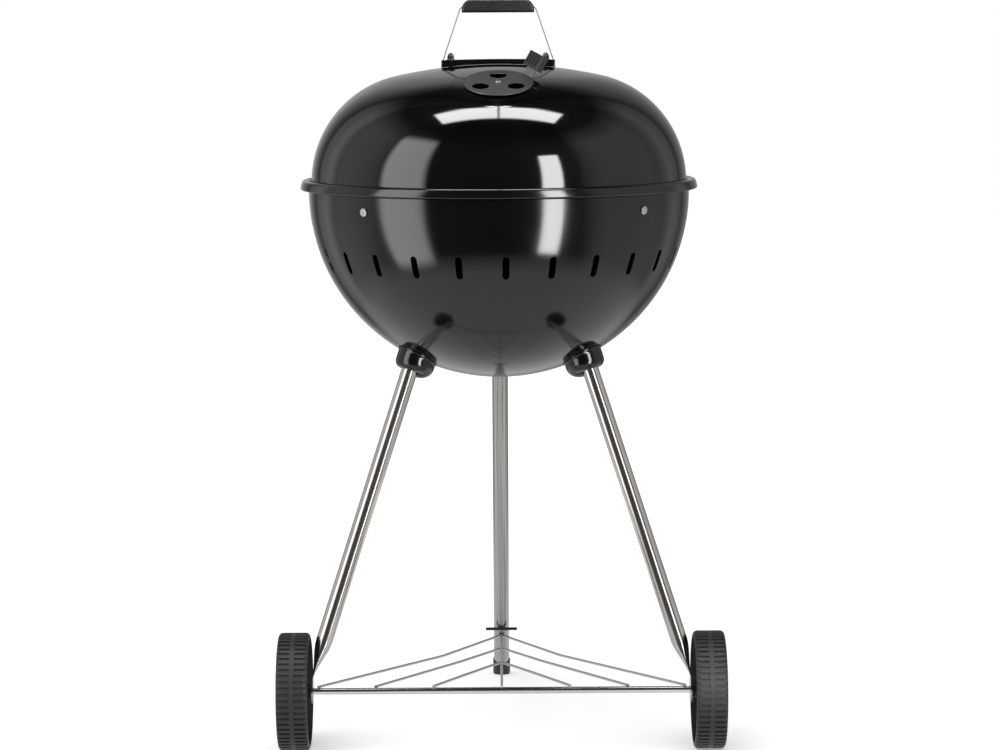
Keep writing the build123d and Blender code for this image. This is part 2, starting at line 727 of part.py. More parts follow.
with BuildPart() as socket_bolts:
    washer_sag = socket_washer_radius**2 / (2 * bowl_base_radius)
    washer_seat = bowl_base_radius - sheet - washer_sag - fit_gap
    bolt_seat = washer_seat - socket_washer_thickness - fit_gap
    for azimuth in leg_azimuths.values():
        with BuildSketch(base_plane(azimuth, socket_lobe_angle, bolt_seat)):
            Circle(socket_bolt_head)
        extrude(amount=-socket_bolt_radius)
        with BuildSketch(base_plane(azimuth, socket_lobe_angle, bolt_seat)):
            Circle(socket_bolt_radius)
        extrude(amount=bowl_base_radius + socket_bolt_grip + socket_nut_height + fit_gap - bolt_seat)
save(socket_bolts, "socket_bolts")

with BuildPart() as socket_washers:
    for azimuth in leg_azimuths.values():
        with BuildSketch(base_plane(azimuth, socket_lobe_angle, washer_seat)):
            Circle(socket_washer_radius)
            Circle(socket_bolt_radius + fit_gap, mode=Mode.SUBTRACT)
        extrude(amount=-socket_washer_thickness)
save(socket_washers, "socket_washers")

with BuildPart() as socket_nuts:
    for azimuth in leg_azimuths.values():
        with BuildSketch(base_plane(azimuth, socket_lobe_angle, bowl_base_radius + socket_bolt_grip + fit_gap)):
            RegularPolygon(socket_nut_radius, 6)
            Circle(socket_bolt_radius + bearing_gap, mode=Mode.SUBTRACT)
        extrude(amount=socket_nut_height)
save(socket_nuts, "socket_nuts")

# ---------------------------------------------------------------- axle and wheels
wheel_start = plate_x + flat_thickness / 2 + wheel_gap
tread_start = wheel_start + hub_stand
tread_end = tread_start + tread_width
tread_middle = tread_start + tread_width / 2
hub_end = tread_end - hub_recess
cap_start = hub_end + wheel_gap
axle_end = cap_start + axle_cap_length - axle_cap_floor
axle_centre = Axis((0, axle_y, axle_z), (1, 0, 0))


def axle_plane(x):
    """Upright plane square to the axle at x: local x points to the rear, local y up."""
    return Plane((x, axle_y, axle_z), x_dir=(0, 1, 0), z_dir=(1, 0, 0))


with BuildPart() as axle:
    with BuildSketch(axle_plane(-axle_end)):
        Circle(axle_diameter / 2)
    extrude(amount=2 * axle_end)
save(axle, "axle")

with BuildPart() as wheel_right:
    inner_radius = wheel_radius - tread_wall
    with BuildSketch(Plane((0, axle_y, axle_z), x_dir=(1, 0, 0), z_dir=(0, -1, 0))):
        with Locations((tread_middle, wheel_radius - tread_wall / 2)):
            Rectangle(tread_width, tread_wall)
        tread_corners = vertices().group_by(Axis.Y)[-1]
        fillet(tread_corners, tread_shoulder)
    revolve(axis=axle_centre)
    with BuildSketch(axle_plane(tread_middle)):
        Circle(inner_radius)
    extrude(amount=wheel_web / 2, both=True)
    with BuildSketch(axle_plane(tread_start + wheel_rib_recess)):
        with PolarLocations(inner_radius / 2, wheel_rib_count):
            Rectangle(inner_radius, wheel_rib)
    extrude(amount=tread_width - 2 * wheel_rib_recess)
    with BuildSketch(Plane((0, axle_y, axle_z), x_dir=(1, 0, 0), z_dir=(0, -1, 0))):
        with BuildLine():
            Polyline(
                (wheel_start, 0),
                (wheel_start, hub_tip_radius),
                (tread_middle, hub_radius),
                (hub_end, hub_tip_radius),
                (hub_end, 0),
                close=True,
            )
        make_face()
    revolve(axis=axle_centre)
    for side in (-1, 1):
        with BuildSketch(axle_plane(tread_middle + side * tread_band / 2)):
            with PolarLocations(wheel_radius, groove_count, start_angle=180 / groove_count):
                Rectangle(2 * groove_depth, groove_width)
        extrude(amount=side * tread_width, mode=Mode.SUBTRACT)
    with BuildSketch(axle_plane(0)):
        Circle(axle_diameter / 2 + bearing_gap)
    extrude(amount=2 * tread_end, mode=Mode.SUBTRACT)
save(wheel_right, "wheel_right")

with BuildPart() as wheel_left:
    add(wheel_right.part.mirror(Plane.YZ))
save(wheel_left, "wheel_left")

with BuildPart() as axle_caps:
    for side in (-1, 1):
        with BuildSketch(axle_plane(side * cap_start)):
            Circle(axle_cap_radius)
        extrude(amount=side * axle_cap_length)
    fillet(axle_caps.edges().group_by(Axis.X)[0] + axle_caps.edges().group_by(Axis.X)[-1], axle_cap_floor)
    with BuildSketch(axle_plane(-axle_end - fit_gap)):
        Circle(axle_diameter / 2 + fit_gap)
    extrude(amount=2 * (axle_end + fit_gap), mode=Mode.SUBTRACT)
save(axle_caps, "axle_caps")

# ---------------------------------------------------------------- wire rack
rack_plane = Plane(
    (0, axle_y, rack_low_z),
    x_dir=(1, 0, 0),
    z_dir=(0, sin(radians(rack_fall)), cos(radians(rack_fall))),
)
tips = (rack_reach / cos(radians(rack_fall)), *rack_tips)
with BuildPart() as rack:
    for (side_gap, bend_x, bend_y), tip in zip(rack_arms, tips):
        half_span = plate_x - side_gap
        tip_share = hypot(bend_x, tip - bend_y) / bend_x - 1
        half = [(half_span, -rack_end), (bend_x, bend_y), (0, tip + rack_tip_bend * tip_share)]
        other = [(-half_span, -rack_end), (-bend_x, bend_y)]
        with BuildLine(rack_plane) as arm:
            FilletPolyline(*half, *reversed(other), radius=[rack_arm_bend, rack_tip_bend, rack_arm_bend])
        with BuildSketch(Plane(arm.line @ 0, z_dir=arm.line % 0)):
            Circle(rack_wire / 2)
        sweep(path=arm.line)
    with BuildLine(rack_plane.offset(rack_spine_rise)) as spine:
        Line((0, -rack_end), (0, tips[0]))
    with BuildSketch(Plane(spine.line @ 0, z_dir=spine.line % 0)):
        Circle(rack_wire / 2)
    sweep(path=spine.line)
save(rack, "rack")

with BuildPart() as rack_bracket:
    with BuildSketch(rack_face):
        with Locations((0, (rack_stem_rise - rack_stem_drop) / 2)):
            Rectangle(rack_stem_width, rack_stem_rise + rack_stem_drop)
        Circle(rack_screw_radius + fit_gap, mode=Mode.SUBTRACT)
    extrude(amount=rack_bar_sheet)
    with BuildSketch(rack_face):
        with Locations((0, rack_bar_rise)):
            Rectangle(rack_bar_width, rack_bar_sheet)
    extrude(amount=rack_bar_depth)
save(rack_bracket, "rack_bracket")

with BuildPart() as rack_screw:
    with BuildSketch(rack_face.offset(rack_bar_sheet + fit_gap)):
        Circle(2 * rack_screw_radius)
    extrude(amount=rack_screw_radius)
    fillet(rack_screw.edges().sort_by(Axis(rack_face.origin, leg_front))[-1], rack_screw_radius / 2)
    with BuildSketch(rack_face.offset(rack_bar_sheet + fit_gap)):
        Circle(rack_screw_radius)
    extrude(amount=-leg_radius / 2)
save(rack_screw, "rack_screw")

# ---------------------------------------------------------------- grate brackets
# The flat strips stand off the curved wall by the sag of the wall behind them.
wall_sag = (bracket_width**2 + (bracket_rise + bracket_tail) ** 2) / (8 * bowl_side_radius)
bracket_inset = sheet + wall_sag
with BuildPart() as grate_brackets:
    for azimuth in bracket_azimuths:
        strip = wall_plane(azimuth, bracket_z, bracket_inset + bracket_sheet / 2)
        strip_r = hypot(strip.origin.X, strip.origin.Y - kettle_y)
        strip_lean = asin((waist_z - bracket_z) / bowl_side_radius)
        top_r = strip_r + bracket_rise * tan(strip_lean)
        low_r = strip_r - bracket_tail * tan(strip_lean)
        with BuildSketch(radial_plane(azimuth)):
            with BuildLine():
                FilletPolyline(
                    (low_r, strip.origin.Z - bracket_tail),
                    (top_r, strip.origin.Z + bracket_rise),
                    (top_r - bracket_shelf, strip.origin.Z + bracket_rise),
                    radius=bracket_sheet,
                )
            trace(line_width=bracket_sheet)
        extrude(amount=bracket_width / 2, both=True)
        with BuildSketch(strip):
            Circle(bracket_screw_radius + fit_gap)
        extrude(amount=2 * bracket_sheet, both=True, mode=Mode.SUBTRACT)
save(grate_brackets, "grate_brackets")

with BuildPart() as grate_bracket_screws:
    for azimuth in bracket_azimuths:
        with BuildSketch(wall_plane(azimuth, bracket_z, -fit_gap)):
            Circle(bracket_screw_head)
        extrude(amount=bracket_screw_radius)
    outer_rims = [
        grate_bracket_screws.edges().filter_by(GeomType.CIRCLE).sort_by_distance(
            wall_plane(azimuth, bracket_z, -fit_gap - 2 * bracket_screw_radius).origin
        )[0]
        for azimuth in bracket_azimuths
    ]
    fillet(outer_rims, bracket_screw_radius / 2)
    for azimuth in bracket_azimuths:
        with BuildSketch(wall_plane(azimuth, bracket_z, -fit_gap)):
            Circle(bracket_screw_radius)
        extrude(amount=-(bracket_inset + bracket_sheet + bracket_nut_height + 3 * fit_gap))
save(grate_bracket_screws, "grate_bracket_screws")

with BuildPart() as grate_bracket_nuts:
    for azimuth in bracket_azimuths:
        with BuildSketch(wall_plane(azimuth, bracket_z, bracket_inset + bracket_sheet + fit_gap)):
            RegularPolygon(bracket_nut_radius, 6)
            Circle(bracket_screw_radius + bearing_gap, mode=Mode.SUBTRACT)
        extrude(amount=-bracket_nut_height)
save(grate_bracket_nuts, "grate_bracket_nuts")

# ---------------------------------------------------------------- cooking grate
shelf_z = grate_brackets.faces().filter_by(Axis.Z).sort_by(Axis.Z)[-1].center().Z


def bar_half(offset_x, radius):
    """Half length of a grate bar that ends on the middle of the ring."""
    return sqrt(radius**2 - offset_x**2)


def grate(radius, pitch, ring_z):
    """Round welded grate: a ring, bars on top of it and two braces under the bars."""
    bar_z = ring_z + (ring_wire + bar_wire) / 2 - weld_sink
    side_bars = int(radius / pitch)
    with BuildPart() as welded:
        with Locations(level_plane(ring_z)):
            Torus(radius, ring_wire / 2)
        for step in range(-side_bars, side_bars + 1):
            half = bar_half(step * pitch, radius)
            if half > pitch:
                with BuildSketch(Plane((step * pitch, kettle_y - half, bar_z), z_dir=(0, 1, 0))):
                    Circle(bar_wire / 2)
                extrude(amount=2 * half)
        for side in (-1, 1):
            half = bar_half(brace_share * radius, radius)
            with BuildSketch(Plane((-half, kettle_y + side * brace_share * radius, ring_z), z_dir=(1, 0, 0))):
                Circle(ring_wire / 2)
            extrude(amount=2 * half)
    return welded.part


cooking_ring_z = shelf_z + seat_gap + ring_wire / 2
cooking_grate_radius = wall_radius(cooking_ring_z, sheet) - cooking_grate_room - ring_wire / 2
loop_z = cooking_ring_z + (ring_wire + bar_wire) / 2 - weld_sink
loop_x = loop_bar * cooking_bar_pitch
with BuildPart() as cooking_grate:
    add(grate(cooking_grate_radius, cooking_bar_pitch, cooking_ring_z))
    for side in (-1, 1):
        loop_side = Plane((side * loop_x, kettle_y, loop_z), x_dir=(0, 1, 0), z_dir=(1, 0, 0))
        with BuildLine(loop_side) as loop:
            FilletPolyline(
                (-loop_width / 2, 0),
                (-loop_width / 2, loop_rise),
                (loop_width / 2, loop_rise),
                (loop_width / 2, 0),
                radius=loop_bend,
            )
        with BuildSketch(Plane(loop.line @ 0, z_dir=loop.line % 0)):
            Circle(loop_wire / 2)
        sweep(path=loop.line)
save(cooking_grate, "cooking_grate")

# ---------------------------------------------------------------- charcoal grate
support_z = rim_height - support_drop
support_r = wall_radius(support_z, sheet)
with BuildPart() as charcoal_supports:
    with BuildSketch(level_plane(support_z)):
        with PolarLocations(support_r, bracket_count, start_angle=bowl_turn):
            Rectangle(2 * support_reach, support_width)
    extrude(amount=-support_sheet)
    with BuildSketch(radial_plane(0)):
        with BuildLine():
            CenterArc((bowl_side_inset, waist_z), bowl_side_radius - sheet - fit_gap, -45, 45)
            Line((bowl_side_inset + bowl_side_radius - sheet - fit_gap, waist_z), (0, waist_z))
            Polyline(
                (0, waist_z),
                (0, waist_z - (bowl_side_radius - sheet - fit_gap) * sin(radians(45))),
                (
                    bowl_side_inset + (bowl_side_radius - sheet - fit_gap) * cos(radians(45)),
                    waist_z - (bowl_side_radius - sheet - fit_gap) * sin(radians(45)),
                ),
            )
        make_face()
    revolve(axis=kettle_axis, mode=Mode.INTERSECT)
save(charcoal_supports, "charcoal_supports")

charcoal_ring_z = support_z + seat_gap + ring_wire / 2
charcoal_grate_radius = wall_radius(charcoal_ring_z, sheet) - charcoal_grate_room - ring_wire / 2
with BuildPart() as charcoal_grate:
    add(grate(charcoal_grate_radius, charcoal_bar_pitch, charcoal_ring_z))
save(charcoal_grate, "charcoal_grate")
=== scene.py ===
"""Kettle charcoal grill, dressed piece by piece in the order in which it is put together."""

import json

import bpy
import numpy as np
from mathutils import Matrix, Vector

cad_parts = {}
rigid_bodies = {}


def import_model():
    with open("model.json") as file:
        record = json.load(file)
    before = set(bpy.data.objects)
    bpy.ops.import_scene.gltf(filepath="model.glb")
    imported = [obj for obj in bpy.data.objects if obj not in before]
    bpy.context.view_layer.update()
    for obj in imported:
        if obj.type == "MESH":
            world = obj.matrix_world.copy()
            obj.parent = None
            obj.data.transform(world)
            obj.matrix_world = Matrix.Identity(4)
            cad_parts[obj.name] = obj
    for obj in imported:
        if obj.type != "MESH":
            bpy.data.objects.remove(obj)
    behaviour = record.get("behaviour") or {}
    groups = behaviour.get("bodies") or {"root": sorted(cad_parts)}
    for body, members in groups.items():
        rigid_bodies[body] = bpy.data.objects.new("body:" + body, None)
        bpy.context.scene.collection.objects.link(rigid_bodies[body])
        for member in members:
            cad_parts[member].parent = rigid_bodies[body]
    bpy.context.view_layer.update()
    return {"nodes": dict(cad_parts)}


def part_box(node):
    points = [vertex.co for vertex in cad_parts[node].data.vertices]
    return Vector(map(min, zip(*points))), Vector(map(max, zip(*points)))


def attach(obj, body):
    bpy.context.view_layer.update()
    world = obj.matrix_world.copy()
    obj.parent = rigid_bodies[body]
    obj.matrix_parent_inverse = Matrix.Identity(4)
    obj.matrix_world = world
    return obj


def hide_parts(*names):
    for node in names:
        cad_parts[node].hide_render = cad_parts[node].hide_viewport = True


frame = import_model()

# ---------------------------------------------------------------- bowl
# The bowl is one deep-drawn steel sheet with a rolled rim and a ring of punched air slots.
# It is dipped and fired in black vitreous enamel: a thick glassy coat with faint orange peel.
KETTLE_Y = 0.5 * (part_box("bowl")[0][1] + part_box("bowl")[1][1])
SHEET = 0.0012
SHARP_EDGE = np.radians(35.0)
RIM_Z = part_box("bowl")[1][2]
RIM_RADIUS = 0.3
RIM_BAND = 0.0146
MOUTH_RADIUS = 0.2874
LIP_CORNER = 0.0033
HEM_BEND = 0.0018
HEM_FLARE = np.radians(16.0)
HEM_CURL = np.radians(120.0)
SHOULDER_BEND = 0.0038
UPPER_NECK = 0.0014
LEDGE_BEND = 0.0024
LOWER_NECK = 0.0023
SIDE_INSET = 0.0084
BASE_RISE = 0.0086
SLOT_TURN = np.radians(2.0)
SLOT_COUNT = 25
SLOT_WIDTH = 0.010
SLOT_HEIGHT = 0.033
SLOT_DROP = 0.1155
SLOT_Z = RIM_Z - SLOT_DROP
PATCH_TURN = np.radians(2.4)
PATCH_MARGIN = 0.007
PATCH_COLUMNS, BETWEEN_COLUMNS = 11, 7
RING_SHARES = (0.4, 0.75, 1.0)
SHOULDER_Z = RIM_Z - SHEET - SHOULDER_BEND
WAIST_Z = SHOULDER_Z - UPPER_NECK - 4 * LEDGE_BEND - LOWER_NECK
SIDE_RADIUS = MOUTH_RADIUS - SIDE_INSET
BASE_RADIUS = SIDE_RADIUS + np.hypot(SIDE_INSET, BASE_RISE)
BASE_TURN = np.arctan2(BASE_RISE, SIDE_INSET)
BOWL_CENTRE_Z = WAIST_Z + BASE_RISE


def linear(hex_colour):
    """sRGB hex to linear RGBA: c / 12.92 up to 0.04045, else ((c + 0.055) / 1.055) to the 2.4."""
    c = np.array([int(hex_colour[at : at + 2], 16) for at in (1, 3, 5)]) / 255
    return (*np.where(c <= 0.04045, c / 12.92, ((c + 0.055) / 1.055) ** 2.4).tolist(), 1.0)


def add_node(tree, kind, inputs=None, stops=(), **settings):
    """Adds one node with its settings, its inputs set or linked, and a ramp's (place, colour)
    stops, and gives its outputs."""
    node = tree.nodes.new("ShaderNode" + kind)
    for name, value in settings.items():
        setattr(node, name, value)
    for name, value in (inputs or {}).items():
        if isinstance(value, bpy.types.NodeSocket):
            tree.links.new(value, node.inputs[name])
        else:
            node.inputs[name].default_value = value
    if stops:
        points = node.color_ramp.elements
        while len(points) < len(stops):
            points.new(0.5)
        for point, (place, value) in zip(points, stops):
            point.position = place
            point.color = linear(value) if isinstance(value, str) else (value, value, value, 1.0)
    return node.outputs


def fresh_tree(owner):
    """The emptied node tree of a material, a world or a lamp."""
    owner.use_nodes = True
    owner.node_tree.nodes.clear()
    return owner.node_tree


def start_finish(name):
    """An empty material, with its node tree and the Object coordinates that its patterns read."""
    material = bpy.data.materials.new(name)
    tree = fresh_tree(material)
    return material, tree, add_node(tree, "TexCoord")["Object"]


def dress(material, *names):
    """Gives CAD nodes a material, on the slots that they already have."""
    for name in names:
        part = frame["nodes"][name]
        if not part.material_slots:
            part.data.materials.append(material)
        for holder in part.material_slots:
            holder.material = material


def enamel(name, waves_um, grain_um, roughness):
    """Vitreous enamel: glassy black, with firing waves of 9 mm and a grain of 1.6 mm that bend
    its reflections, heights in microns, and clouds of 60 mm that dull it a little."""
    material, tree, coords = start_finish(name)
    waves = add_node(tree, "TexNoise", {"Vector": coords, "Scale": 1 / 0.009, "Detail": 1.0})[0]
    grain = add_node(tree, "TexNoise", {"Vector": coords, "Scale": 1 / 0.0016, "Detail": 2.0})[0]
    cloud = add_node(tree, "TexNoise", {"Vector": coords, "Scale": 1 / 0.06, "Detail": 3.0})[0]
    black = ((0.3, "#060607"), (0.7, "#0a0a0b"))
    dulled = ((0.3, roughness), (0.7, roughness + 0.025))
    waved = add_node(tree, "Bump", {"Height": waves, "Distance": waves_um * 1e-6})[0]
    grained = {"Height": grain, "Distance": grain_um * 1e-6, "Normal": waved}
    glass = {
        "Base Color": add_node(tree, "ValToRGB", {"Fac": cloud}, black)[0],
        "Roughness": add_node(tree, "ValToRGB", {"Fac": cloud}, dulled)[0],
        "IOR": 1.5,
        "Normal": add_node(tree, "Bump", grained)[0],
    }
    skin = add_node(tree, "BsdfPrincipled", glass)["BSDF"]
    add_node(tree, "OutputMaterial", {"Surface": skin})
    return material


def grid_faces(rows, columns):
    """Quads of a grid of vertices counted row by row, whose last column joins its first."""
    i, j = np.meshgrid(np.arange(rows - 1), np.arange(columns), indexing="ij")
    k = (j + 1) % columns
    corners = (i * columns + j, i * columns + k, (i + 1) * columns + k, (i + 1) * columns + j)
    return np.stack(corners, -1)


def put_in_scene(name, data):
    """An object for a mesh, a lamp or a camera, in the scene's own collection."""
    holder = bpy.data.objects.new(name, data)
    bpy.context.scene.collection.objects.link(holder)
    return holder


def add_piece(name, points, faces, material, body, node):
    """A smooth mesh from points and faces, sharp over 35 degrees, that rides on a body and stands
    for a node."""
    mesh = bpy.data.meshes.new(name)
    mesh.from_pydata(np.asarray(points).tolist(), [], [list(face) for face in faces])
    mesh.validate()
    mesh.materials.append(material)
    mesh.shade_smooth()
    mesh.set_sharp_from_angle(angle=SHARP_EDGE)
    piece = put_in_scene(name, mesh)
    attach(piece, body)
    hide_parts(node)
    return piece


def give_sheet(piece):
    """Gives a skin the thickness of its steel sheet, towards the inside."""
    wall = piece.modifiers.new("sheet", "SOLIDIFY")
    wall.thickness = SHEET
    wall.offset = -1.0
    wall.use_even_offset = True


def bake_modifiers(piece):
    """Makes a piece's modifiers part of its mesh."""
    shape = piece.evaluated_get(bpy.context.evaluated_depsgraph_get())
    mesh = bpy.data.meshes.new_from_object(shape)
    mesh.name = piece.name
    piece.modifiers.clear()
    piece.data = mesh
    mesh.shade_smooth()
    mesh.set_sharp_from_angle(angle=SHARP_EDGE)


def round_kettle(r, turn, z):
    """Points round the kettle's axis: (r cos(turn), KETTLE_Y + r sin(turn), z)."""
    return np.stack(np.broadcast_arrays(r * np.cos(turn), KETTLE_Y + r * np.sin(turn), z), -1)


def arc(centre, radius, start, turn, steps):
    """Points on a circle round (r, z) centre, from the start angle through a turn, in radians."""
    angles = start + turn * np.linspace(0.0, 1.0, steps + 1)
    return np.stack((centre[0] + radius * np.cos(angles), centre[1] + radius * np.sin(angles)), -1)


def bowl_profile():
    """Outer skin from the pole to the rolled hem, as (r, z) rows, each bend a tangent arc."""
    quarter = np.pi / 2
    fall = quarter - HEM_FLARE
    drop = RIM_BAND - 2 * SHEET - LIP_CORNER * (1 - np.cos(fall)) - HEM_BEND * (1 + np.cos(fall))
    run = drop / np.sin(fall)
    reach = LIP_CORNER * np.sin(fall) + run * np.cos(fall) + HEM_BEND * (1 - np.sin(fall))
    corner = (RIM_RADIUS - SHEET - reach, RIM_Z - SHEET - LIP_CORNER)
    band_start = arc(corner, LIP_CORNER, quarter, -fall, 1)[-1]
    band_end = band_start + run * np.array((np.cos(-fall), np.sin(-fall)))
    hem = band_end - HEM_BEND * np.array((np.sin(fall), np.cos(fall)))
    ledge_z = WAIST_Z + LOWER_NECK
    nose_r = MOUTH_RADIUS - LEDGE_BEND
    shoulder = (MOUTH_RADIUS + SHOULDER_BEND, SHOULDER_Z)
    parts = [
        arc((0.0, BOWL_CENTRE_Z), BASE_RADIUS, -quarter, quarter - BASE_TURN, 20)[1:],
        arc((SIDE_INSET, WAIST_Z), SIDE_RADIUS, -BASE_TURN, BASE_TURN, 40)[1:],
        arc((nose_r, ledge_z), LEDGE_BEND, 0.0, quarter, 3),
        arc((nose_r, ledge_z + 2 * LEDGE_BEND), LEDGE_BEND, -quarter, -2 * quarter, 6)[1:],
        arc((nose_r, ledge_z + 4 * LEDGE_BEND), LEDGE_BEND, -quarter, quarter, 3)[1:],
        arc(shoulder, SHOULDER_BEND, 2 * quarter, -quarter, 5),
        arc(corner, LIP_CORNER, quarter, -fall, 6),
        arc(hem, HEM_BEND, quarter - fall, -HEM_CURL, 6),
    ]
    return np.concatenate(parts)


def side_radius(z):
    """Radius of the bowl's side arc at height z: inset + sqrt(radius² - (waist - z)²)."""
    return SIDE_INSET + np.sqrt(SIDE_RADIUS**2 - (WAIST_Z - z) ** 2)


def slot_outline(across, up):
    """Where a ray from a slot's middle through (across, up) meets its straight sides, at half the
    width, or its round ends, at the far root of |ray - end's middle| = half."""
    half, straight = SLOT_WIDTH / 2, SLOT_HEIGHT / 2 - SLOT_WIDTH / 2
    on_side = half / np.maximum(np.abs(across), 1e-9)
    length = np.hypot(across, up)
    cosine = np.abs(up) / length
    root = np.sqrt(np.maximum(half**2 - straight**2 * (1 - cosine**2), 0.0))
    to_end = straight * cosine + root
    scale = np.where(np.abs(up) * on_side <= straight, on_side, to_end / length)
    return across * scale, up * scale


# Columns stand closer beside each slot; the patch of rows and columns round a slot gives way to
# rings that turn from the grid's rectangle into the slot's outline.
profile = bowl_profile()
slot_step = 2 * np.pi / SLOT_COUNT
near = PATCH_TURN * np.linspace(-1, 1, PATCH_COLUMNS)
far = np.linspace(PATCH_TURN, slot_step - PATCH_TURN, BETWEEN_COLUMNS)[1:-1]
within = np.concatenate((near, far))
middles = np.arange(SLOT_COUNT) * slot_step - np.pi / 2 + SLOT_TURN
angles = (middles[:, None] + within).ravel()
columns, rows = len(angles), len(profile)
points = round_kettle(profile[:, :1], angles, profile[:, 1:])
on_patch = np.abs(profile[:, 1] - SLOT_Z) < SLOT_HEIGHT / 2 + PATCH_MARGIN
low_row, high_row = np.flatnonzero(on_patch)[[0, -1]]
high, wide = high_row - low_row, len(near) - 1
quads = grid_faces(rows, columns)
cut = np.zeros(quads.shape[:2], bool)
slot_columns = (np.arange(SLOT_COUNT)[:, None] * len(within) + np.arange(wide)).ravel()
cut[low_row:high_row, slot_columns] = True
faces = quads[~cut].tolist()

border = np.concatenate(
    (
        np.stack((np.zeros(wide), np.arange(wide)), -1),
        np.stack((np.arange(high), np.full(high, wide)), -1),
        np.stack((np.full(wide, high), np.arange(wide, 0, -1)), -1),
        np.stack((np.arange(high, 0, -1), np.zeros(high)), -1),
    )
).astype(int)
border_z = profile[low_row + border[:, 0], 1]
border_across = side_radius(border_z) * np.sin(near[border[:, 1]])
inner_across, inner_up = slot_outline(border_across, border_z - SLOT_Z)
shares = np.array(RING_SHARES)[:, None]
ring_z = border_z + shares * (SLOT_Z + inner_up - border_z)
ring_across = border_across + shares * (inner_across - border_across)
ring_r = side_radius(ring_z)
rings = round_kettle(ring_r, np.arcsin(ring_across / ring_r) + middles[:, None, None], ring_z)
ring_size = ring_z.size
start = rows * columns
for slot_number in range(SLOT_COUNT):
    first = (low_row + border[:, 0]) * columns + slot_number * len(within) + border[:, 1]
    levels = np.concatenate((first[None], start + np.arange(ring_size).reshape(ring_z.shape)))
    onward = np.roll(levels, -1, 1)
    ring_quads = np.stack((levels[:-1], onward[:-1], onward[1:], levels[1:]), -1)
    faces += ring_quads.reshape(-1, 4).tolist()
    start += ring_size
faces += [(start, (at + 1) % columns, at) for at in range(columns)]
pole = [[0.0, KETTLE_Y, BOWL_CENTRE_Z - BASE_RADIUS]]
points = np.concatenate((points.reshape(-1, 3), rings.reshape(-1, 3), pole))
bowl_enamel = enamel("vitreous enamel, bowl", waves_um=4.5, grain_um=0.8, roughness=0.11)
bowl = add_piece("bowl_skin", points, faces, bowl_enamel, "stand", "bowl")
give_sheet(bowl)
bake_modifiers(bowl)
dress(bowl_enamel, "charcoal_supports")

# ---------------------------------------------------------------- leg sockets
# Three glossy nylon mouldings sit on the bowl with a thin oval flange. Each is a round cup for
# the leg, blended into a ball-ended lobe whose pocket holds the nut that draws it to the bowl.
# Sizes are along inward, across and drop: the drop goes down the leg's own line.
SOCKET_SEAT = np.radians(30.6)
LOBE_SEAT = np.radians(25.4)
LEG_SPLAY = np.radians(20.5)
SEAT_LEAN = SOCKET_SEAT - LEG_SPLAY
SOCKET_GAP = 0.0001
UNDERSIDE_SHARES = (0.3, 0.65)
FLANGE = 0.0022
FLANGE_BREAK = 0.0004
FLANGE_SOFT = (0.0006, 0.0008)
BRIM = 0.0016
CUP_RADIUS = 0.0275
CUP_SHIFT = 0.003
CUP_MOUTH = 0.014
CUP_ROUND = 0.012
CUP_END = 0.0245
LOBE_MIDDLE = 0.016
LOBE_RADIUS = 0.020
LOBE_END = 0.031
SOCKET_MIDDLE = 0.006
BLEND = 0.004
SOCKET_SIDES = 96
BORE_START, BORE_RADIUS, BORE_SIDES = 0.0058, 0.0127, 64
NUT_START, NUT_RADIUS, NUT_SIDES = 0.009, 0.0060, 6
BOLT_HOLE = 0.0034
BOLT_START = -0.004
DRILL_END = 0.06
SOCKET_AZIMUTHS = {"socket_rear": 90.0, "socket_front_right": -30.0, "socket_front_left": 210.0}


def moulded_gloss(name, colour, roughness):
    """Glossy injection-moulded plastic: slight sink waves, 12 mm long and 12 microns deep, and
    smears of 4 mm that dull it a little."""
    material, tree, coords = start_finish(name)
    sink = add_node(tree, "TexNoise", {"Vector": coords, "Scale": 1 / 0.012, "Detail": 1.0})[0]
    smear = add_node(tree, "TexNoise", {"Vector": coords, "Scale": 1 / 0.004, "Detail": 3.0})[0]
    dulled = ((0.35, roughness), (0.7, roughness + 0.08))
    plastic = {
        "Base Color": linear(colour),
        "Roughness": add_node(tree, "ValToRGB", {"Fac": smear}, dulled)[0],
        "IOR": 1.49,
        "Normal": add_node(tree, "Bump", {"Height": sink, "Distance": 12e-6})[0],
    }
    skin = add_node(tree, "BsdfPrincipled", plastic)["BSDF"]
    add_node(tree, "OutputMaterial", {"Surface": skin})
    return material


def seat_drop(inward, across, off):
    """Drop at which a point lies `off` the bowl's base arc: where its distance from the arc's
    middle is radius + off, so sqrt((radius + off)² - flat²) less the middle's own drop."""
    flat = (inward - BASE_RADIUS * np.sin(SEAT_LEAN)) ** 2 + across**2
    return np.sqrt((BASE_RADIUS + off) ** 2 - flat) - BASE_RADIUS * np.cos(SEAT_LEAN)


def ray_to_circle(turns, start, middle, radius):
    """Length of a ray from `start` on the inward axis to the far side of a circle round `middle`:
    ahead + sqrt(radius² - aside²)."""
    ahead = (middle - start) * np.cos(turns)
    aside = (middle - start) * np.sin(turns)
    return ahead + np.sqrt(np.maximum(radius**2 - aside**2, 0.0))


def lobe_radius(drop):
    """Radius of the lobe at a drop: half an ellipsoid below the cup's straight part."""
    share = np.clip((drop - CUP_ROUND) / (LOBE_END - CUP_ROUND), 0, 1)
    return LOBE_RADIUS * np.sqrt(1 - share**2)


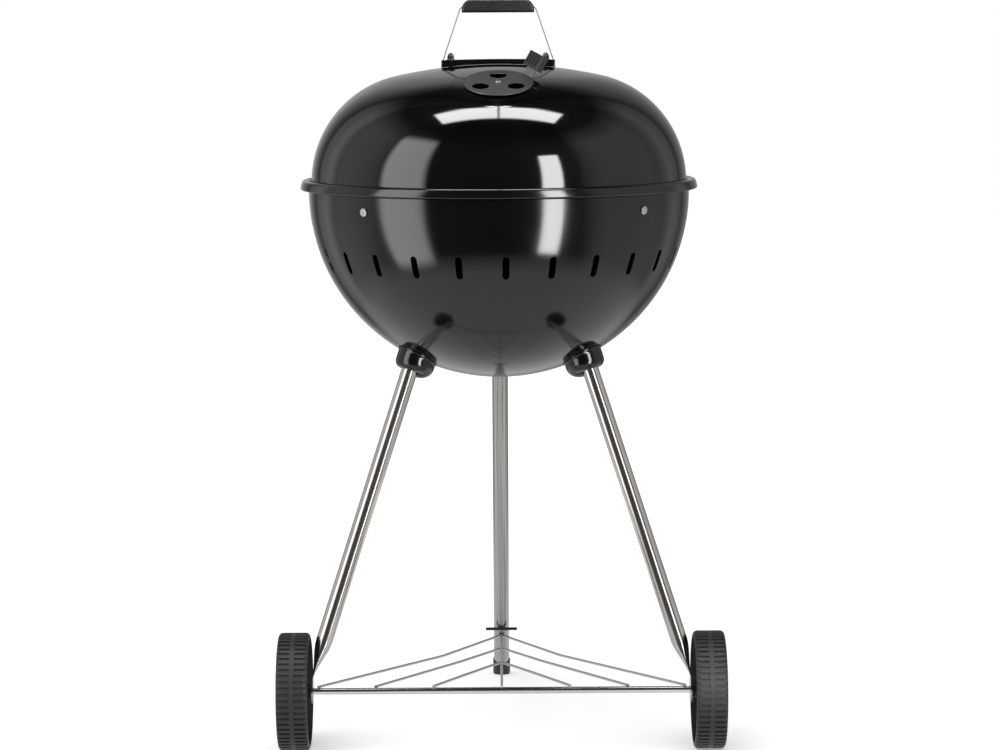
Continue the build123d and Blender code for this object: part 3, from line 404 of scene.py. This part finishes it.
def socket_section(turns, drop):
    """Outline at a drop: the soft greatest, (a + b + hypot(a - b, blend)) / 2, of the cup's
    circle, which closes on the leg as an elliptic quarter, and the lobe's circle."""
    full = np.sqrt(1 - np.clip((drop - CUP_ROUND) / (CUP_END - CUP_ROUND), 0, 1) ** 2)
    cup_radius = CUP_MOUTH + (CUP_RADIUS - CUP_MOUTH) * full
    cup = ray_to_circle(turns, SOCKET_MIDDLE, CUP_SHIFT * full, cup_radius)
    lobe = ray_to_circle(turns, SOCKET_MIDDLE, LOBE_MIDDLE, lobe_radius(drop))
    return 0.5 * (cup + lobe + np.hypot(cup - lobe, BLEND))


def prism(place, axis, side, back, turns, steps):
    """Closed prism along an axis, with steps of (length, radius): each is a ring of points
    place + length axis + radius (cos(turn) side + sin(turn) back)."""
    along, out = np.array(steps).T[..., None, None]
    ring = np.cos(turns)[:, None] * side + np.sin(turns)[:, None] * back
    points = place + along * axis + out * ring
    count = len(turns)
    faces = grid_faces(len(steps), count).reshape(-1, 4).tolist()
    faces += [list(range(count))[::-1], list(range((len(steps) - 1) * count, len(steps) * count))]
    return points.reshape(-1, 3), faces


def joined(shapes):
    """The points and faces of several shapes as one."""
    points, faces = np.empty((0, 3)), []
    for more_points, more_faces in shapes:
        faces += [[len(points) + at for at in face] for face in more_faces]
        points = np.concatenate((points, more_points))
    return points, faces


def drill(piece, points, faces):
    """Cuts the shape of a drill or punch out of a piece, for good."""
    tool = bpy.data.meshes.new("tool")
    tool.from_pydata(points.tolist(), [], faces)
    tool = put_in_scene("tool", tool)
    cut = piece.modifiers.new("drill", "BOOLEAN")
    cut.object = tool
    cut.operation = "DIFFERENCE"
    bake_modifiers(piece)
    bpy.data.objects.remove(tool)


socket_turns = np.linspace(0, 2 * np.pi, SOCKET_SIDES, endpoint=False)
along_inward, along_across = np.cos(socket_turns), np.sin(socket_turns)
top = socket_section(socket_turns, 0.0)
flange_steps = (
    (FLANGE_BREAK, 0.0),
    (0.0, FLANGE_BREAK),
    (0.0, FLANGE - FLANGE_SOFT[1]),
    (FLANGE_SOFT[0], FLANGE),
    (BRIM - FLANGE_SOFT[0], FLANGE),
    (BRIM, FLANGE + FLANGE_SOFT[1]),
)
levels = []
for share in UNDERSIDE_SHARES:
    inward, across = SOCKET_MIDDLE + share * top * along_inward, share * top * along_across
    levels.append((inward, across, seat_drop(inward, across, SOCKET_GAP)))
for inset, height in flange_steps:
    out = top + BRIM - inset
    inward, across = SOCKET_MIDDLE + out * along_inward, out * along_across
    levels.append((inward, across, seat_drop(inward, across, SOCKET_GAP + height)))
# Below its foot the cup goes straight down and closes in ten steps of 9 degrees. The lobe's
# rounded end goes on alone in nine more.
skirt = levels[-1][2]
drops = [skirt + (CUP_ROUND - skirt) * share for share in (0.25, 0.5, 0.75, 1.0)]
drops += [
    CUP_ROUND + (CUP_END - CUP_ROUND) * np.sin(turn) for turn in np.radians(np.arange(9, 91, 9))
]
for drop in drops:
    out = socket_section(socket_turns, drop)
    level = np.broadcast_to(drop, socket_turns.shape)
    levels.append((SOCKET_MIDDLE + out * along_inward, out * along_across, level))
cup_end_turn = np.arcsin((CUP_END - CUP_ROUND) / (LOBE_END - CUP_ROUND))
for turn in np.linspace(cup_end_turn, np.pi / 2, 10)[:-1]:
    drop = CUP_ROUND + (LOBE_END - CUP_ROUND) * np.sin(turn)
    out = lobe_radius(drop)
    level = np.broadcast_to(drop, socket_turns.shape)
    levels.append((LOBE_MIDDLE + out * along_inward, out * along_across, level))
levels = np.array([np.stack(axes, -1) for axes in levels])
poles = (
    (SOCKET_MIDDLE, 0.0, seat_drop(SOCKET_MIDDLE, 0.0, SOCKET_GAP)),
    (LOBE_MIDDLE, 0.0, LOBE_END),
)
rows, columns = levels.shape[:2]
cup_points = np.concatenate((levels.reshape(-1, 3), poles))
cup_faces = grid_faces(rows, columns).reshape(-1, 4).tolist()
last_row, first_pole = (rows - 1) * columns, rows * columns
ring = [(at, (at + 1) % columns) for at in range(columns)]
cup_faces += [(onward, at, first_pole) for at, onward in ring]
cup_faces += [(last_row + at, last_row + onward, first_pole + 1) for at, onward in ring]

# The leg's round bore, and the bolt's hole that widens to the nut's hexagonal pocket.
bolt_lean = LEG_SPLAY - LOBE_SEAT
lobe_seat = BASE_RADIUS * np.array(
    (np.sin(SEAT_LEAN) + np.sin(bolt_lean), 0.0, np.cos(bolt_lean) - np.cos(SEAT_LEAN))
)
across_axis = np.array((0.0, 1.0, 0.0))
bore_steps = ((BORE_START, BORE_RADIUS), (DRILL_END, BORE_RADIUS))
bolt_steps = ((BOLT_START, BOLT_HOLE), (NUT_START, BOLT_HOLE))
bolt_steps += ((NUT_START, NUT_RADIUS), (DRILL_END, NUT_RADIUS))
holes = []
for place, lean, sides, steps in (
    (np.zeros(3), 0.0, BORE_SIDES, bore_steps),
    (lobe_seat, bolt_lean, NUT_SIDES, bolt_steps),
):
    axis = np.array((np.sin(lean), 0.0, np.cos(lean)))
    side = np.array((np.cos(lean), 0.0, -np.sin(lean)))
    side_turns = np.linspace(0, 2 * np.pi, sides, endpoint=False)
    holes.append(prism(place, axis, side, across_axis, side_turns, steps))
hole_points, hole_faces = joined(holes)
socket_gloss = moulded_gloss("moulded nylon, leg sockets", "#0b0b0c", roughness=0.12)
up = np.array((0.0, 0.0, 1.0))
for node, azimuth in SOCKET_AZIMUTHS.items():
    out = np.array((np.cos(np.radians(azimuth)), np.sin(np.radians(azimuth)), 0.0))
    seat = np.array((0.0, KETTLE_Y, BOWL_CENTRE_Z))
    seat = seat + BASE_RADIUS * (np.sin(SOCKET_SEAT) * out - np.cos(SOCKET_SEAT) * up)
    inward = -np.cos(LEG_SPLAY) * out - np.sin(LEG_SPLAY) * up
    drop = np.sin(LEG_SPLAY) * out - np.cos(LEG_SPLAY) * up
    socket_axes = np.stack((inward, np.cross(up, out), drop))
    points = seat + cup_points @ socket_axes
    moulding = add_piece(f"{node}_moulding", points, cup_faces, socket_gloss, "stand", node)
    drill(moulding, seat + hole_points @ socket_axes, hole_faces)


def fitting_metal(name, colour, roughness):
    """Plated or bare metal of fittings, wire and stampings: bright and silky, with crystal clouds
    6 microns deep that dull it here and there, drawn at 1.5 mm, coarser than real, to show."""
    material, tree, coords = start_finish(name)
    spotted = {"Vector": coords, "Scale": 1 / 0.0015, "Detail": 3.0}
    crystals = add_node(tree, "TexNoise", spotted)[0]
    clouded = ((0.3, roughness), (0.7, roughness + 0.12))
    metal = {
        "Base Color": linear(colour),
        "Metallic": 1.0,
        "Roughness": add_node(tree, "ValToRGB", {"Fac": crystals}, clouded)[0],
        "Normal": add_node(tree, "Bump", {"Height": crystals, "Distance": 6e-6})[0],
    }
    skin = add_node(tree, "BsdfPrincipled", metal)["BSDF"]
    add_node(tree, "OutputMaterial", {"Surface": skin})
    return material


zinc = fitting_metal("bright zinc plate", "#c4c2bd", roughness=0.26)
dress(zinc, "socket_bolts", "socket_washers", "socket_nuts")

# ---------------------------------------------------------------- legs
# The legs are thin-walled steel tube, welded along its length, then ground, polished and
# chromed. The front pair are flattened at the foot for the axle; the rear leg is only ground.
TUBE = 0.0254
LINE_STRETCH = 200.0


def drawn_steel(name, node, direction, bright, dull, line_mm, roughness):
    """Polished or rolled steel: draw lines a micron deep run along a direction, line_mm apart,
    coarser than real, to show, and faint clouds of 25 mm blur the gloss."""
    material, tree, coords = start_finish(name)
    lean = tuple(Vector(direction).to_track_quat("Z", "Y").to_euler())
    stretched = {"Vector": coords, "Rotation": lean, "Scale": (1.0, 1.0, LINE_STRETCH)}
    along = add_node(tree, "Mapping", stretched, vector_type="TEXTURE")[0]
    drawn = {"Vector": along, "Scale": 1000 / line_mm, "Detail": 2.0}
    lines = add_node(tree, "TexNoise", drawn)[0]
    cloud = add_node(tree, "TexNoise", {"Vector": coords, "Scale": 1 / 0.025, "Detail": 3.0})[0]
    worn = ((0.3, roughness), (0.7, roughness + 0.04))
    metal = {
        "Base Color": add_node(tree, "ValToRGB", {"Fac": lines}, ((0.35, dull), (0.65, bright)))[0],
        "Metallic": 1.0,
        "Roughness": add_node(tree, "ValToRGB", {"Fac": cloud}, worn)[0],
        "Normal": add_node(tree, "Bump", {"Height": lines, "Distance": 1e-6})[0],
    }
    skin = add_node(tree, "BsdfPrincipled", metal)["BSDF"]
    add_node(tree, "OutputMaterial", {"Surface": skin})
    dress(material, node)


def leg_run(node):
    """How far a leg's middle line runs in x, y and z: its box less the tube's own width."""
    low, high = np.array(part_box(node))
    return high - low - (TUBE, TUBE, 0.0)


for side, node in ((-1, "leg_front_right"), (1, "leg_front_left")):
    run = leg_run(node)
    climb = (side * run[0], run[1], run[2])
    name = f"chromed tube, {node}"
    drawn_steel(name, node, climb, bright="#cfccc7", dull="#b5b2ad", line_mm=1.5, roughness=0.16)
run = leg_run("leg_rear")
drawn_steel(
    "ground tube, leg_rear",
    "leg_rear",
    (0.0, -run[1], run[2]),
    bright="#bcbab6",
    dull="#8f8d8a",
    line_mm=2.5,
    roughness=0.24,
)

# ---------------------------------------------------------------- foot cap, axle caps and wheels
# The foot and the axle ends carry soft black caps. The wheels are blown and moulded in
# grey-black plastic with a fine grain; the tread has cross grooves either side of a plain band.


def grained_plastic(name, dark, light, grain_mm, depth_um, roughness):
    """Matte moulded plastic or paint: a grain of grain_mm, coarser than real, to show, and slow
    patches 18 mm wide of rubbed, lighter skin."""
    material, tree, coords = start_finish(name)
    grained = {"Vector": coords, "Scale": 1000 / grain_mm, "Detail": 3.0, "Roughness": 0.6}
    grain = add_node(tree, "TexNoise", grained)[0]
    patched = {"Vector": coords, "Scale": 1 / 0.018, "Detail": 4.0, "Roughness": 0.6}
    rubbed = add_node(tree, "TexNoise", patched)[0]
    matted = ((0.3, roughness), (0.7, roughness + 0.15))
    plastic = {
        "Base Color": add_node(tree, "ValToRGB", {"Fac": rubbed}, ((0.35, dark), (0.7, light)))[0],
        "Roughness": add_node(tree, "ValToRGB", {"Fac": grain}, matted)[0],
        "IOR": 1.5,
        "Normal": add_node(tree, "Bump", {"Height": grain, "Distance": depth_um * 1e-6})[0],
    }
    skin = add_node(tree, "BsdfPrincipled", plastic)["BSDF"]
    add_node(tree, "OutputMaterial", {"Surface": skin})
    return material


cap_plastic = grained_plastic(
    "soft PVC, caps", "#070708", "#0c0c0d", grain_mm=0.9, depth_um=15.0, roughness=0.36
)
dress(cap_plastic, "foot_cap", "axle_caps")
wheel_plastic = grained_plastic(
    "blown polyethylene, wheels", "#181919", "#212122", grain_mm=1.1, depth_um=40.0, roughness=0.5
)
dress(wheel_plastic, "wheel_right", "wheel_left")

# ---------------------------------------------------------------- axle and wire rack
# The axle is a drawn steel rod. The rack's wires are bent, spot-welded on the axle and on each
# other, and plated dull grey; a small black strap holds the rack's tip on the rear leg.
drawn_steel(
    "drawn rod, axle",
    "axle",
    (1.0, 0.0, 0.0),
    bright="#dcdcdc",
    dull="#c8c8c8",
    line_mm=1.0,
    roughness=0.08,
)
dress(fitting_metal("dull zinc plate, rack wire", "#c4c4c4", roughness=0.3), "rack")
strap_paint = grained_plastic(
    "black paint, rack strap", "#161616", "#202020", grain_mm=0.7, depth_um=8.0, roughness=0.4
)
dress(strap_paint, "rack_bracket")
dress(zinc, "rack_screw")

# ---------------------------------------------------------------- grates and their brackets
# Bent zinc-plated strips are screwed through the wall. The cooking grate is chromed wire, and
# the charcoal grate plain steel wire; both are welded and lie loose.
dress(zinc, "grate_brackets", "grate_bracket_screws", "grate_bracket_nuts")
dress(fitting_metal("chromed wire, cooking grate", "#c4c4c3", roughness=0.12), "cooking_grate")
plain_wire = fitting_metal("plain steel wire, charcoal grate", "#8b8882", roughness=0.35)
dress(plain_wire, "charcoal_grate")

# ---------------------------------------------------------------- lid
# The lid is deep-drawn from one sheet like the bowl, with a flat round seat pressed into its
# front shoulder for the vent, pierced three times, and enamelled like the bowl.
LID_RADIUS = 0.5 * (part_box("lid")[1][0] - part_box("lid")[0][0])
LID_EDGE_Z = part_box("lid")[0][2]
SKIRT = 0.0032
SHOULDER_RADIUS = 0.1636
CROWN_RADIUS = 0.7195
VENT_LEAN = np.radians(19.5)
SEAT_RADIUS = 0.0418
SEAT_SINK = 0.0030
SEAT_DRAFT = np.radians(65.5)
SEAT_LIP = 0.0013
SEAT_FOOT = 0.0005
SEAT_REACH = 1.6 * SEAT_RADIUS
SEAT_DEPTH = 3 * SEAT_RADIUS
HOLE_COUNT = 3
HOLE_RADIUS = 0.0125
HOLE_PITCH = 0.0297
HOLE_SIDES = 48
PUNCH_REACH = 0.01
# Rows and columns lie close on the front shoulder and the crown's edge, where the seat is
# pressed, and further apart elsewhere; column turns are in degrees.
SHOULDER_FINE, SHOULDER_ROW = 0.092, 0.0011
CROWN_FINE, CROWN_ROW = 0.050, 0.0013
FRONT_HALF, FRONT_COLUMN = 25, 0.35
BACK_START, BACK_COLUMNS = 25.1, 130
SHOULDER_ROWS, CROWN_ROWS = 20, 16
SHOULDER_MIDDLE_R = LID_RADIUS - SHOULDER_RADIUS
SHOULDER_MIDDLE_Z = LID_EDGE_Z + SKIRT
CROWN_FALL = np.sqrt((CROWN_RADIUS - SHOULDER_RADIUS) ** 2 - SHOULDER_MIDDLE_R**2)
CROWN_MIDDLE_Z = SHOULDER_MIDDLE_Z - CROWN_FALL
SHOULDER_TURN = np.arctan2(CROWN_FALL, SHOULDER_MIDDLE_R)
VENT_UP = np.array((0.0, -np.sin(VENT_LEAN), np.cos(VENT_LEAN)))
VENT_SIDE = np.array((1.0, 0.0, 0.0))
VENT_BACK = np.cross(VENT_UP, VENT_SIDE)
VENT_MIDDLE = np.array((0.0, KETTLE_Y - SHOULDER_MIDDLE_R, SHOULDER_MIDDLE_Z))
VENT_MIDDLE = VENT_MIDDLE + (SHOULDER_RADIUS - SEAT_SINK) * VENT_UP


def press_seat(points):
    """Moves points along the vent's axis onto the seat: the soft least of zero, which is the flat
    of the pad, and the soft greatest of the dome's height over the pad and the draft wall
    (radius - rho) / tan(draft)."""
    offset = points - VENT_MIDDLE
    height = offset @ VENT_UP
    rho = np.linalg.norm(offset - height[..., None] * VENT_UP, axis=-1)
    wall = (SEAT_RADIUS - rho) / np.tan(SEAT_DRAFT)
    outside = 0.5 * (height + wall + np.hypot(height - wall, SEAT_FOOT))
    pressed = 0.5 * (outside - np.hypot(outside, SEAT_LIP))
    touched = (rho < SEAT_REACH) & (height > -SEAT_DEPTH)
    return points + np.where(touched, pressed - height, 0.0)[..., None] * VENT_UP


shoulder_length = SHOULDER_RADIUS * SHOULDER_TURN
fine = np.arange(shoulder_length - SHOULDER_FINE, shoulder_length, SHOULDER_ROW) / SHOULDER_RADIUS
coarse = np.linspace(0.0, fine[0], SHOULDER_ROWS)[:-1]
crown_fine = SHOULDER_TURN + np.arange(0.0, CROWN_FINE, CROWN_ROW) / CROWN_RADIUS
crown_rest = np.linspace(crown_fine[-1], np.pi / 2, CROWN_ROWS)[1:-1]
profile = [np.array([[LID_RADIUS, LID_EDGE_Z]])]
for (r, z), radius, bend in (
    ((SHOULDER_MIDDLE_R, SHOULDER_MIDDLE_Z), SHOULDER_RADIUS, np.concatenate((coarse, fine))),
    ((0.0, CROWN_MIDDLE_Z), CROWN_RADIUS, np.concatenate((crown_fine, crown_rest))),
):
    profile.append(np.stack((r + radius * np.cos(bend), z + radius * np.sin(bend)), -1))
profile = np.concatenate(profile)
front = np.arange(-FRONT_HALF, FRONT_HALF, FRONT_COLUMN)
back = np.linspace(BACK_START, 360 - FRONT_HALF, BACK_COLUMNS)[:-1]
angles = np.radians(np.concatenate((front, back))) - np.pi / 2
rows, columns = len(profile), len(angles)
points = press_seat(round_kettle(profile[:, :1], angles, profile[:, 1:]))
pole = [[0.0, KETTLE_Y, CROWN_MIDDLE_Z + CROWN_RADIUS]]
points = np.concatenate((points.reshape(-1, 3), pole))
faces = grid_faces(rows, columns).reshape(-1, 4).tolist()
last_row, top_pole = (rows - 1) * columns, rows * columns
faces += [(top_pole, last_row + at, last_row + (at + 1) % columns) for at in range(columns)]
lid_enamel = enamel("vitreous enamel, lid", waves_um=1.8, grain_um=0.4, roughness=0.05)
lid = add_piece("lid_skin", points, faces, lid_enamel, "lid", "lid")
give_sheet(lid)
around = np.linspace(0, 2 * np.pi, HOLE_SIDES, endpoint=False)
punch_steps = ((-PUNCH_REACH, HOLE_RADIUS), (PUNCH_REACH, HOLE_RADIUS))
punches = []
for turn in np.pi / 2 + np.arange(HOLE_COUNT) * 2 * np.pi / HOLE_COUNT:
    middle = VENT_MIDDLE + HOLE_PITCH * (np.cos(turn) * VENT_SIDE + np.sin(turn) * VENT_BACK)
    punches.append(prism(middle, VENT_UP, VENT_SIDE, VENT_BACK, around, punch_steps))
drill(lid, *joined(punches))

# ---------------------------------------------------------------- vent
# A stamped aluminium disc, tumbled dull, turns on a rivet over the holes. Its bent tab
# carries a ribbed knob of heat-resistant plastic.
dress(fitting_metal("tumbled aluminium, vent disc", "#8c8c8e", roughness=0.42), "vent_disc")
knob_plastic = grained_plastic(
    "bakelite, vent knob", "#101011", "#171718", grain_mm=0.8, depth_um=10.0, roughness=0.4
)
dress(knob_plastic, "vent_knob")
dress(zinc, "vent_rivet")

# ---------------------------------------------------------------- lid handle
# A bent steel strap clamps a glossy bar to the crown with two bolts and brass cap nuts, and
# carries a moulded grip.
drawn_steel(
    "rolled strip, handle strap",
    "lid_handle_strap",
    (0.0, 1.0, 0.0),
    bright="#dcdcdb",
    dull="#d2d2d1",
    line_mm=0.8,
    roughness=0.7,
)
dress(moulded_gloss("moulded bakelite, handle bar", "#0c0c0d", roughness=0.1), "lid_handle_base")
grip_plastic = grained_plastic(
    "bakelite, handle grip", "#18181a", "#202022", grain_mm=0.9, depth_um=8.0, roughness=0.28
)
dress(grip_plastic, "lid_handle_grip")
dress(zinc, "lid_handle_bolts", "lid_handle_washers")
dress(fitting_metal("brass, cap nuts", "#a59679", roughness=0.26), "lid_handle_nuts")

# ---------------------------------------------------------------- studio
# A pale floor, a white backdrop, dark cloth behind the camera and soft boxes. The boxes show in
# gloss alone, and the plain light on every surface comes from the world and one broad sun.
FLOOR_HALF = 12.0
WHITE = (1.0, 1.0, 1.0, 1.0)
# What gloss sees round the grill, as (turn from the backdrop in shares of half a circle,
# brightness): backdrop, gap, side screens and the dark cloth behind the camera.
LEFT_WALLS = (
    (0.98, 0.07), (0.75, 0.08), (0.71, 0.30), (0.60, 0.45), (0.567, 0.41), (0.55, 0.56),
    (0.51, 0.70), (0.45, 0.72), (0.40, 0.66), (0.367, 0.58), (0.348, 0.47), (0.306, 0.81),
    (0.283, 0.72), (0.25, 0.45), (0.225, 0.40), (0.20, 0.10), (0.08, 0.60),
)
RIGHT_WALLS = (
    (0.17, 0.22), (0.20, 0.10), (0.225, 0.27), (0.253, 0.37), (0.288, 0.53), (0.318, 0.45),
    (0.36, 0.37), (0.42, 0.55), (0.483, 0.60), (0.60, 0.72), (0.628, 0.70), (0.658, 0.61),
    (0.689, 0.45), (0.722, 0.14), (0.98, 0.07),
)
# The ceiling's share of that brightness, by the height (sine) of a direction.
CEILING = ((0.0, 1.0), (0.62, 1.0), (0.80, 0.09))
# The floor's reflection turns from its painted glow, shaded under the grill, to the screens' light
# over these distances.
FLOOR_OWN, FLOOR_SCREENS = 0.9, 1.35
# Painted shadow in the floor's reflection: darker and bluer right under the grill, pale from half a
# metre out.
FLOOR_SHADE_COLOURS = ((0.0, "#d9dbe0"), (0.5, "#fdfcfb"))
FLOOR_LIFT = 0.3
WORLD_LEVEL = 0.7
SUN_LEVEL = 1.3
SUN_PLACE = (-1.0, -1.6, 3.6)
SUN_SPREAD = np.radians(60.0)
# Bare metal returns a lamp twenty times as strongly as enamel does, so it gets its own dimmed
# set, with the panel dimmed less, for a broad sheen on the tubes.
BARE_SHARE, BARE_PANEL_SHARE = 0.2, 0.2**0.4
STRIP_TURN, STRIP_AWAY, STRIP_Z = 29.2, 1.3, 0.78
PANEL_TURN, PANEL_AWAY, PANEL_Z = -52.8, 1.0, 0.89
OVERHEAD_X, OVERHEAD_Y, OVERHEAD_Z = 0.337, KETTLE_Y - 0.38, 2.15


def screens(tree, east, north):
    """Brightness of the screens in a direction, by its turn off the backdrop, which is
    arctan(east / north)."""
    sideways = add_node(tree, "Math", {0: east, 1: north}, operation="ARCTAN2")[0]
    half_turns = {"Value": sideways, "From Min": -np.pi, "From Max": np.pi}
    share = add_node(tree, "MapRange", half_turns)[0]
    stops = [(0.5 - turn / 2, value) for turn, value in LEFT_WALLS]
    stops += [(0.5 + turn / 2, value) for turn, value in RIGHT_WALLS]
    return add_node(tree, "ValToRGB", {"Fac": share}, stops)[0]


def plain_floor():
    """Painted floor: pale, lifted to white for the eye but dimmed where the grill shades it. In
    reflections it glows with painted light: a painted shadow, darker and bluer, right under the
    grill, pale round it, and further off the screens' light."""
    material, tree, coords = start_finish("painted floor")
    ray = add_node(tree, "LightPath")
    from_axis = {0: coords, 1: (0.0, KETTLE_Y, 0.0)}
    off_kettle = add_node(tree, "VectorMath", from_axis, operation="SUBTRACT")["Vector"]
    split = add_node(tree, "SeparateXYZ", {"Vector": off_kettle})
    away = add_node(tree, "VectorMath", {0: off_kettle}, operation="LENGTH")["Value"]
    fading = {"Value": away, "From Min": FLOOR_OWN, "From Max": FLOOR_SCREENS}
    far = add_node(tree, "MapRange", fading)[0]
    around = screens(tree, split["X"], split["Y"])
    # Painted shadow under the grill, seen only in the floor's reflection.
    painted_shade = add_node(tree, "ValToRGB", {"Fac": away}, FLOOR_SHADE_COLOURS)[0]
    bright = add_node(tree, "MixRGB", {0: far, 1: painted_shade, 2: around})[0]
    mirrored = add_node(tree, "Emission", {"Color": bright, "Strength": 1.0})[0]
    pale = add_node(tree, "BsdfDiffuse", {"Color": linear("#f2f2f2")})[0]
    lift = add_node(tree, "Emission", {"Color": WHITE, "Strength": FLOOR_LIFT})[0]
    seen = add_node(tree, "AddShader", {0: pale, 1: lift})[0]
    lit = add_node(tree, "MixShader", {0: ray["Is Glossy Ray"], 1: pale, 2: mirrored})[0]
    shown = add_node(tree, "MixShader", {0: ray["Is Camera Ray"], 1: lit, 2: seen})[0]
    add_node(tree, "OutputMaterial", {"Surface": shown})
    return material


floor_mesh = bpy.data.meshes.new("floor")
floor_corners = np.array(((-1, -1, 0), (1, -1, 0), (1, 1, 0), (-1, 1, 0))) * FLOOR_HALF
floor_mesh.from_pydata(floor_corners.tolist(), [], [(0, 1, 2, 3)])
floor_mesh.materials.append(plain_floor())
floor = put_in_scene("floor", floor_mesh)

world = bpy.data.worlds.new("studio")
bpy.context.scene.world = world
tree = fresh_tree(world)
heading = add_node(tree, "SeparateXYZ", {"Vector": add_node(tree, "TexCoord")["Generated"]})
walls = screens(tree, heading["X"], heading["Y"])
ceiling = add_node(tree, "ValToRGB", {"Fac": heading["Z"]}, CEILING)[0]
mirrored = add_node(tree, "MixRGB", {0: 1.0, 1: walls, 2: ceiling}, blend_type="MULTIPLY")[0]
ray = add_node(tree, "LightPath")
glossy = add_node(tree, "Background", {"Color": mirrored, "Strength": 1.0})[0]
soft = add_node(tree, "Background", {"Color": WHITE, "Strength": WORLD_LEVEL})[0]
white = add_node(tree, "Background", {"Color": WHITE, "Strength": 1.0})[0]
lit = add_node(tree, "MixShader", {0: ray["Is Glossy Ray"], 1: soft, 2: glossy})[0]
shown = add_node(tree, "MixShader", {0: ray["Is Camera Ray"], 1: lit, 2: white})[0]
add_node(tree, "OutputWorld", {"Surface": shown})


def aimed(place, target):
    """A matrix for a lamp at a place whose -Z axis points at a target."""
    back = np.array(place, float) - np.array(target, float)
    back /= np.linalg.norm(back)
    upright = abs(back[2]) > 0.99
    right = np.cross((0.0, 1.0, 0.0) if upright else (0.0, 0.0, 1.0), back)
    right /= np.linalg.norm(right)
    matrix = np.eye(4)
    matrix[:3] = np.stack((right, np.cross(back, right), back, place), -1)
    return matrix.T.tolist()


def soft_box(name, place, target, size, radiance, fade, lit):
    """A rectangular lamp seen in the gloss of one collection; its cloth fades over shares of its
    half width and half height."""
    lamp = bpy.data.lights.new(name, "AREA")
    lamp.shape = "RECTANGLE"
    lamp.size, lamp.size_y = size
    lamp.energy = radiance * np.pi * size[0] * size[1]
    tree = fresh_tree(lamp)
    spot = add_node(tree, "SeparateXYZ", {"Vector": add_node(tree, "NewGeometry")["Parametric"]})
    level = 1.0
    for axis, soft in zip("XY", fade):
        off = add_node(tree, "Math", {0: spot[axis], 1: 0.5}, operation="SUBTRACT")[0]
        off = add_node(tree, "Math", {0: off}, operation="ABSOLUTE")[0]
        edge = {"Value": off, "From Min": 0.5, "From Max": 0.5 - soft / 2}
        faded = add_node(tree, "MapRange", edge, interpolation_type="SMOOTHSTEP")[0]
        level = add_node(tree, "Math", {0: level, 1: faded}, operation="MULTIPLY")[0]
    cloth = add_node(tree, "Emission", {"Strength": level})[0]
    add_node(tree, "OutputLight", {"Surface": cloth})
    holder = put_in_scene(name, lamp)
    holder.matrix_world = aimed(place, target)
    holder.visible_diffuse = False
    holder.light_linking.receiver_collection = lit


def from_kettle(azimuth, away, z):
    """A place at an azimuth to the right of the camera's side, away from the kettle's axis."""
    turn = np.radians(azimuth)
    return (away * np.sin(turn), KETTLE_Y - away * np.cos(turn), z)


def is_metal(part):
    """Whether one of a part's finishes is a metal."""
    finishes = [holder.material for holder in part.material_slots if holder.material]
    nodes = [node for finish in finishes for node in finish.node_tree.nodes]
    shares = [node.inputs["Metallic"].default_value for node in nodes if "Metallic" in node.inputs]
    return max(shares, default=0.0) > 0.5


dark_parts = bpy.data.collections.new("enamel_and_plastic")
bare_parts = bpy.data.collections.new("bare_metal")
for part in bpy.data.objects:
    if part.type == "MESH" and part != floor:
        (bare_parts if is_metal(part) else dark_parts).objects.link(part)
for lit, share, panel_share in (
    (dark_parts, 1.0, 1.0),
    (bare_parts, BARE_SHARE, BARE_PANEL_SHARE),
):
    soft_box(
        f"strip_{lit.name}",
        from_kettle(STRIP_TURN, STRIP_AWAY, STRIP_Z),
        from_kettle(0, 0, STRIP_Z),
        size=(0.31, 1.54),
        radiance=18.0 * share,
        fade=(0.3, 0.06),
        lit=lit,
    )
    soft_box(
        f"panel_{lit.name}",
        from_kettle(PANEL_TURN, PANEL_AWAY, PANEL_Z),
        from_kettle(0, 0, PANEL_Z),
        size=(0.56, 1.75),
        radiance=4.1 * panel_share,
        fade=(0.35, 0.25),
        lit=lit,
    )
    for number, side in enumerate((-OVERHEAD_X, OVERHEAD_X)):
        soft_box(
            f"overhead_{number}_{lit.name}",
            (side, OVERHEAD_Y, OVERHEAD_Z),
            (side, OVERHEAD_Y, 0.0),
            size=(0.69, 0.40),
            radiance=17.5 * share,
            fade=(0.1, 0.4),
            lit=lit,
        )
sun = bpy.data.lights.new("broad_sun", "SUN")
sun.energy = SUN_LEVEL
sun.angle = SUN_SPREAD
holder = put_in_scene("broad_sun", sun)
holder.matrix_world = aimed(SUN_PLACE, (0.0, 0.0, 0.0))
holder.visible_glossy = False

# ---------------------------------------------------------------- camera
# The camera stands in front of the grill at about its own height, looks a little down on the
# kettle through a long lens, and is rolled by a third of a degree.
CAMERA_AWAY = 4.6415
CAMERA_UP = 1.0739
CAMERA_TIP = np.radians(6.552)
CAMERA_ROLL = np.radians(-0.33)
CAMERA_LENS = 110.25
CAMERA_SENSOR = 36.0
camera = bpy.data.cameras.new("camera")
camera.lens = CAMERA_LENS
camera.sensor_width = CAMERA_SENSOR
holder = put_in_scene("camera", camera)
cos_tip, sin_tip = np.cos(np.pi / 2 - CAMERA_TIP), np.sin(np.pi / 2 - CAMERA_TIP)
cos_roll, sin_roll = np.cos(CAMERA_ROLL), np.sin(CAMERA_ROLL)
tip = np.array(((1, 0, 0), (0, cos_tip, -sin_tip), (0, sin_tip, cos_tip)))
roll = np.array(((cos_roll, -sin_roll, 0), (sin_roll, cos_roll, 0), (0, 0, 1)))
matrix = np.eye(4)
matrix[:3, :3] = tip @ roll
matrix[:3, 3] = (0.0, KETTLE_Y - CAMERA_AWAY, CAMERA_UP)
holder.matrix_world = matrix.T.tolist()
bpy.context.scene.camera = holder
bpy.context.scene.view_settings.view_transform = "Standard"
